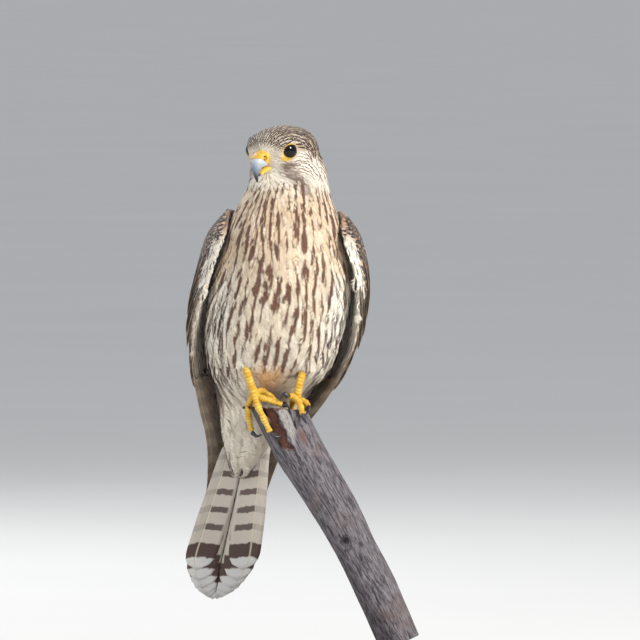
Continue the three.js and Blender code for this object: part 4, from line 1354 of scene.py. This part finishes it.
def horn(name, stations, last, count, cols, material, swollen=0.0):
    """A form through the bill's sections, from the first station to the last one asked."""
    turns = full_turn(cols)
    high, across = np.cos(turns), np.sin(turns)
    flat = np.sign(across) * np.abs(across) ** 0.85
    rings = []
    for place in np.linspace(0, last, count):
        ahead, up, dip, wide, above, below = along(stations, place)
        rise = vec(math.sin(math.radians(dip)), 0, math.cos(math.radians(dip)))
        tall = high * (np.where(high > 0, above, below) + swollen)
        tooth = 0.7 * bell((place, TOOTH_AT, 0.35), (high, -0.75, 0.3))
        section = vec(ahead, 0, up) + (flat * (wide + swollen))[:, None] * BACKWARD
        rings.append(from_head(section + (tall - tooth)[:, None] * rise))
    return capped(name, rings, material)


def cut_off(piece, point, normal):
    """Keeps the side of a plane that its normal points away from, and closes the cut."""
    work = bmesh.new()
    work.from_mesh(piece.data)
    made = bmesh.ops.bisect_plane(work, geom=work.verts[:] + work.edges[:] + work.faces[:], dist=1e-7,
                                  plane_co=Vector(point * MM), plane_no=Vector(normal), clear_outer=True)
    rim = [e for e in made["geom_cut"] if isinstance(e, bmesh.types.BMEdge)]
    bmesh.ops.triangle_fill(work, edges=rim, use_beauty=True, use_dissolve=False)
    work.to_mesh(piece.data)
    work.free()


def dress_bill():
    line, way = from_head(CERE_LINE), CERE_WAY @ HEAD_AXES
    upper = horn("bill_upper_form", UPPER_BILL, 7, 90, 56, BILL)
    cut_off(upper, line + way * 0.05, -way)
    place = to_head(mesh_points(upper))
    gape = smoothstep(19.5, 17.5, place[:, 0]) * smoothstep(-6.5, -7.5, place[:, 2])
    set_layers(upper.data, {"reach": (place - CERE_LINE) @ CERE_WAY / 14.5, "soft": gape})
    stands_for(upper, "bill", "bill_upper")
    lower = horn("bill_lower_form", LOWER_BILL, 4, 40, 48, BILL)
    ahead = to_head(mesh_points(lower))[:, 0]
    set_layers(lower.data, {"reach": smoothstep(16, 29, ahead) * 0.7, "soft": smoothstep(28, 26, ahead)})
    stands_for(lower, "bill", "bill_lower")
    cere = horn("cere_form", UPPER_BILL, 4, 190, 150, BARE, CERE_SWELL)
    cut_off(cere, line, way)
    local = to_head(mesh_points(cere))
    dark = np.zeros(len(local))
    # Each nostril is a round pit with a raised rim and a knob in its middle
    for side in SIDE_NAMES:
        spot = np.linalg.norm((local - NOSTRIL * vec(1, side, 1)) / vec(1, 2.4, 1), axis=1)
        pit = 1.6 * smoothstep(1.75, 1.25, spot) - 0.3 * bell((spot, 2.05, 0.3))
        local[:, 1] -= side * (pit - 1.4 * smoothstep(0.75, 0.45, spot))
        # The pit round the knob is painted darker: painted shade in the nostril's opening.
        dark = np.maximum(dark, smoothstep(1.7, 1.3, spot) * smoothstep(0.55, 0.8, spot))
    move_points(cere, from_head(local))
    set_layers(cere.data, {"groove": dark})
    stands_for(cere, "bare_skin", "cere")


BALL_RINGS, BALL_COLS = 32, 40
LID_COLS, LID_SECTION = 120, 20


def dress_eye(side):
    name = SIDE_NAMES[side]
    mirrored = vec(1, side, 1)
    out = unit(EYE_DIRECTION * mirrored) @ HEAD_AXES
    up = unit(HEAD_UP - out * (HEAD_UP @ out))
    ahead = np.cross(up, out)
    centre = from_head(EYE_AT * mirrored)
    tilts = np.linspace(0.03, math.pi - 0.03, BALL_RINGS)
    turns = full_turn(BALL_COLS)
    rings = [centre + EYE_RADIUS * loop(math.cos(tilt) * out, turns, math.sin(tilt), up, ahead)
             for tilt in tilts]
    eye = capped(f"eyeball_{name}", rings, EYE, {"pupil": np.repeat(np.cos(tilts), BALL_COLS)})
    stands_for(eye, "eye", f"eye_{name}")
    # The ring lies on the ball, with fine creases that run out from the opening
    toward = ahead if ahead @ HEAD_AHEAD > 0 else -ahead
    turns, section = full_turn(LID_COLS), full_turn(LID_SECTION)
    rings, grooves = [], []
    for turn in turns:
        inner, outer = lid_edges(turn)
        radii = (inner + outer) / 2 + (outer - inner) / 2 * np.cos(section)
        ball_height = np.sqrt(np.maximum(EYE_RADIUS ** 2 - np.minimum(radii, 5.4) ** 2, 0))
        crease = 0.10 * math.sin(turn * 31) * np.clip((radii - inner) * 2, 0, 1)
        height = ball_height + 0.05 - 0.42 * (radii - inner) + (0.45 + crease) * np.sin(section)
        arm = toward * math.cos(turn) + up * math.sin(turn)
        rings.append(centre + radii[:, None] * arm + height[:, None] * out)
        # The ring is painted darker along its opening, where it meets the ball: painted shade in that
        # crease.
        grooves.append(0.8 * smoothstep(inner + 0.35, inner, radii))
    faces = grid_faces(len(turns), len(section), True, True)
    lid = add_mesh(f"lid_ring_{name}", rings, faces, BARE, {"groove": grooves})
    weld(lid)
    stands_for(lid, "bare_skin", f"lid_{name}")


# Legs: bare, scaled shanks and toes, and claws

LIMB_STEPS, LIMB_COLS = 150, 32


def scaled_limb(name, node, points, radius_at, hint, scutes):
    """A limb with overlapping plates on its upper side and fine grains elsewhere."""
    line = smooth_line(points, LIMB_STEPS)
    side, up = sides_along(line, hint)
    turns = full_turn(LIMB_COLS)
    top = smoothstep(-0.35, 0.05, np.sin(turns))
    rings, grooves = [], []
    for i, share in enumerate(np.linspace(0, 1, LIMB_STEPS)):
        plate = (share * scutes + 0.10 * np.cos(turns) ** 2) % 1
        step = 0.30 * np.sin(math.pi * plate) ** 0.5 * top
        grain = 0.07 * np.sin(share * scutes * 12.6 + 3 * np.sin(turns * 5)) * (1 - top)
        pads = 0.22 * max(0, math.sin(share * 3 * math.pi)) * np.clip(-np.sin(turns), 0, 1)
        rings.append(loop(line[i], turns, radius_at(share) - 0.25 + step + grain + pads, side[i], up[i]))
        grooves.append(0.75 * (smoothstep(0.14, 0.02, plate) + smoothstep(0.90, 0.98, plate)) * top)
    stands_for(capped(name, rings, BARE, {"groove": np.concatenate(grooves)}), "bare_skin", node)


def shank_radius(share):
    return 2.5 + 0.5 * math.exp(-((share - 1) ** 2) / 0.02)


def toe_radius(share):
    return 2.35 * (1 - 0.22 * share) + 0.22 * math.cos(share * 6 * math.pi)


def claw_radius(share):
    return 1.75 * (1 - share) ** 0.75 + 0.12


def dress_legs():
    for name, leg in LEGS.items():
        scaled_limb(f"shank_form_{name}", f"shank_{name}", leg["shank"], shank_radius, vec(0.1, -1, 0.2), 16)
        for toe, points in leg["toes"].items():
            top = vec(0, 0.2, 1) if toe == "hallux" else vec(0, -1, 0.6)
            scaled_limb(f"toe_form_{name}_{toe}", f"toe_{name}_{toe}", points, toe_radius, top, 13)
            claw = tube(f"claw_form_{name}_{toe}", leg["claws"][toe], vec(0, -1, 0.3), 30, 20,
                        claw_radius, CLAW, flat=0.82)
            stands_for(claw, "claw", f"claw_{name}_{toe}")


# Branch

BRANCH = [
    (0, -35, -5, 190, 16.6), (1, -21.3, -5, 161, 16.2), (2, -11.2, -5, 140.2, 15.9),
    (3, 1.5, -5, 119, 14.6), (4, 15.3, -5, 96, 14.1), (5, 26.2, -5, 75.3, 13.3),
    (6, 38.6, -5, 50.7, 13.9), (7, 51.5, -5, 21.4, 13.5), (8, 57, -5, 8, 13.4),
]
BRANCH_TOP_POINT = vec(-24, -5, 166)
BRANCH_TOP_WAY = unit(vec(0.06, 0.05, 1))
BRANCH_FOOT_Z = 17
BROKEN_WAY = unit(vec(-0.46, 0, 0.89))
KNOT_AT = vec(18.56, -18, 81.92)
# Broad swells of the branch: how many round it, how they drift along it, and their two phases
SWELLS = [(2, 0.05, 0.3, 0.4), (3, 0.035, 1.7, 2.2), (5, 0.06, 0.2, 5.1)]
FISSURES = 26
BARK_ROWS, BARK_COLS = 260, 200
# What is drawn for every fissure: its angle, depth, drift round the branch, start and length
FISSURE_RANGES = [(0, 2 * math.pi), (0.25, 0.8), (-0.25, 0.25), (0, 130), (25, 90)]


def bark_radius(thickness, turns, run, fissures):
    broad = sum(math.sin(f * run + p) * np.sin(k * turns + q) for k, f, p, q in SWELLS)
    radius = thickness + 0.49 * broad - 0.25
    for angle, depth, drift, begin, size in fissures:
        end = begin + size
        away = np.angle(np.exp(1j * (turns - angle - drift * run / 60)))
        fade = smoothstep(begin, begin + 12, run) * smoothstep(end, end - 12, run)
        radius = radius - depth * fade * bell((away, 0, 0.045))
    fine = 0.12 * np.sin(turns * 37 + 3 * math.sin(run * 0.08))
    return radius + fine * (0.6 + 0.4 * math.sin(run * 0.3))


def broken_end(ring, turns):
    """Moves the ring and gives its marks: a trench of bare reddish wood, a silvery splinter, and a dark
    split and rim line, with painted shade on the trench's sides.
    """
    below = (BRANCH_TOP_POINT - ring) @ BROKEN_WAY
    aside = (turns + math.pi) % (2 * math.pi) - math.pi
    edge = 0.06 * np.sin(below * 0.55)
    from_trench, from_splinter = aside - 0.36, aside + 0.10
    trench = smoothstep(0.24, 0.17, np.abs(from_trench + edge))
    trench = trench * smoothstep(27, 23, below + 10 * from_trench)
    splinter = smoothstep(0.26, 0.20, np.abs(from_splinter - edge))
    splinter = splinter * smoothstep(24, 17, below - 22 * from_splinter)
    patch = bell((aside, -0.42, 0.16), (below, 22, 4.5))
    split = bell((aside, 0.004 * below - 0.37, 0.035)) * smoothstep(20, 12, below)
    rim = smoothstep(0.10, 0.03, np.abs(aside - 0.60)) * smoothstep(34, 24, below)
    ring[:, 1] += 2.6 * trench - 0.9 * splinter + 1.8 * split - 0.5 * rim
    # The split and the rim line are dark marks; the trench is painted darker toward its sides, as shade on
    # its walls.
    crack = 0.85 * split + 0.5 * trench * smoothstep(0.08, 0.2, np.abs(from_trench)) + 0.55 * rim
    return np.clip(trench + 0.75 * patch, 0, 1), splinter * 0.9, np.clip(crack, 0, 1)


def knot(ring):
    """A raised lip round a hole on the side in front: moves the ring, gives how dark the hole is painted, as
    shade in the shallow hole.
    """
    away = np.linalg.norm((ring - KNOT_AT) * vec(1, 0.6, 1), axis=1)
    ring[:, 1] -= 1.3 * bell((away, 4.6, 1.7)) * (ring[:, 1] < -8)
    # The hole is only a shallow dent, painted near black at its middle as shade.
    hole = bell((away, 0, 2.6))
    ring[:, 1] += 2.6 * hole * (ring[:, 1] < -8)
    return 0.9 * hole


def dress_branch():
    turns = full_turn(BARK_COLS)
    fissures = list(zip(*(random.uniform(low, high, FISSURES) for low, high in FISSURE_RANGES)))
    line = np.array([along(BRANCH, place) for place in np.linspace(0.25, 7.3, BARK_ROWS)])
    middle, thickness = line[:, :3], line[:, 3]
    ahead = unit(np.gradient(middle, axis=0))
    rings, marks = [], []
    for at, way, thick, run in zip(middle, ahead, thickness, run_along(middle)):
        radius = bark_radius(thick, turns, run, fissures)
        ring = loop(at, turns, radius, -BACKWARD, unit(np.cross(way, -BACKWARD)))
        bare, silver, crack = broken_end(ring, turns)
        # The knot hole's painted shade joins the dark marks of the split, the rim line and the trench's
        # sides.
        marks.append((bare, silver, np.clip(crack + knot(ring), 0, 1)))
        rings.append(ring)
    points = np.array(rings)
    bare, silver, crack = np.array(marks).transpose(1, 0, 2).reshape(3, -1)
    # Above the break the branch ends on a ragged plane, and below it stands on the rod
    over = np.maximum((points - BRANCH_TOP_POINT) @ BRANCH_TOP_WAY, 0)
    jag = 0.9 * np.sin(points[..., 0] * 1.1) + 0.7 * np.sin(points[..., 1] * 1.7 + points[..., 0] * 0.6)
    limit = np.where(over > 0, over - np.clip(jag, -1.6, 0.2), 0)
    points = points - limit[..., None] * BRANCH_TOP_WAY
    points[..., 2] = np.maximum(points[..., 2], BRANCH_FOOT_Z)
    top_face = (over > 0).ravel()
    marks = {"bare": np.clip(bare + top_face, 0, 1), "silver": silver * ~top_face, "crack": crack}
    stands_for(capped("branch_form", points, BARK, marks), "branch", "perch")


# Stand, floor and light

BASE_RADIUS, BASE_THICKNESS, BASE_ROUND = 82, 8, 1.5
ROD_RADIUS, ROD_BEVEL, ROD_X, ROD_Y = 5, 0.4, 53.4, -5
JOINT_GAP = 0.3
TURNED_COLS = 160


def turned(name, profile, x, y, material):
    """A round form from radius and height pairs about an upright axis."""
    turns = full_turn(TURNED_COLS)
    rings = [loop(vec(x, y, z), turns, radius, LEFTWARD, BACKWARD) for radius, z in profile]
    return capped(name, rings, material)


def dress_stand():
    profile = [(BASE_RADIUS * 0.2, 0), (BASE_RADIUS - 8, 0), (BASE_RADIUS - BASE_ROUND, 0)]
    for corner, start in ((BASE_ROUND, -90), (BASE_THICKNESS - BASE_ROUND, 0)):
        for angle in np.radians(np.arange(start, start + 91, 15)):
            profile.append((BASE_RADIUS - BASE_ROUND + BASE_ROUND * math.cos(angle),
                            corner + BASE_ROUND * math.sin(angle)))
    profile += [(BASE_RADIUS - 8, BASE_THICKNESS), (BASE_RADIUS * 0.2, BASE_THICKNESS)]
    base = turned("stand_base_form", profile, 0, 0, base_wood_material())
    stands_for(base, "stand_wood", "stand_base")
    low, high = BASE_THICKNESS + JOINT_GAP, BRANCH_FOOT_Z - JOINT_GAP
    narrow = ROD_RADIUS - ROD_BEVEL
    profile = [(narrow, low), (ROD_RADIUS, low + ROD_BEVEL), (ROD_RADIUS, high - ROD_BEVEL), (narrow, high)]
    rod = turned("stand_rod_form", profile, ROD_X, ROD_Y, steel_material())
    stands_for(rod, "stand_steel", "stand_rod")


STAGE_HALF = 60.0
STAGE_Z = -0.0002


def make_stage():
    """A wide, pale, plain floor that fills the whole background."""
    steps = np.concatenate([-np.geomspace(STAGE_HALF, 0.5, 14), np.geomspace(0.5, STAGE_HALF, 14)])
    points = [(x, y, STAGE_Z) for y in steps for x in steps]
    mesh = bpy.data.meshes.new("floor")
    mesh.from_pydata(points, [], grid_faces(len(steps), len(steps)).tolist())
    mesh.materials.append(floor_material())
    floor = bpy.data.objects.new("floor", mesh)
    bpy.context.scene.collection.objects.link(floor)
    floor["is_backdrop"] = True


LIGHT_AIM = Vector((-0.02, 0, 0.23))


def area_light(name, place, size, power, tint=(1, 1, 1)):
    data = bpy.data.lights.new(name, "AREA")
    data.shape, data.size, data.energy, data.color = "DISK", size, power, tint
    light = bpy.data.objects.new(name, data)
    light.location = place
    light.rotation_euler = (LIGHT_AIM - Vector(place)).to_track_quat("-Z", "Y").to_euler()
    bpy.context.scene.collection.objects.link(light)


def light_stage():
    world = bpy.data.worlds.new("studio")
    world.use_nodes = True
    background = world.node_tree.nodes["Background"]
    background.inputs["Color"].default_value = (0.92, 0.95, 1.0, 1)
    background.inputs["Strength"].default_value = 0.56
    bpy.context.scene.world = world
    area_light("key", (1.7, -1.5, 1.6), size=0.6, power=70, tint=(1.0, 0.97, 0.92))
    area_light("fill", (-1.6, -2.0, 0.7), size=1.6, power=15, tint=(0.92, 0.96, 1.0))
    area_light("rim", (-0.9, 1.6, 1.5), size=0.8, power=20)
    bpy.context.scene.view_settings.view_transform = "Standard"


# Putting it together

make_stage()
light_stage()
skin = skin_piece()
paint_skin(skin)
stands_for(skin, "plumage")
sheets = {wing_side: WingSheet(wing_side) for wing_side in SIDE_NAMES}
cores = {wing_side: wing_core(wing_side, sheet) for wing_side, sheet in sheets.items()}
dress_body(skin, cores.values())
for wing_side, sheet in sheets.items():
    dress_wing(wing_side, sheet, cores[wing_side])
dress_tail()
dress_bill()
for eye_side in SIDE_NAMES:
    dress_eye(eye_side)
dress_legs()
dress_branch()
dress_stand()


def plain(box):
    """A box's corners as lists of plain numbers."""
    return [[float(value) for value in corner] for corner in box]


visual_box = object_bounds()
{"cad": plain(cad_box), "visual": plain(visual_box)}
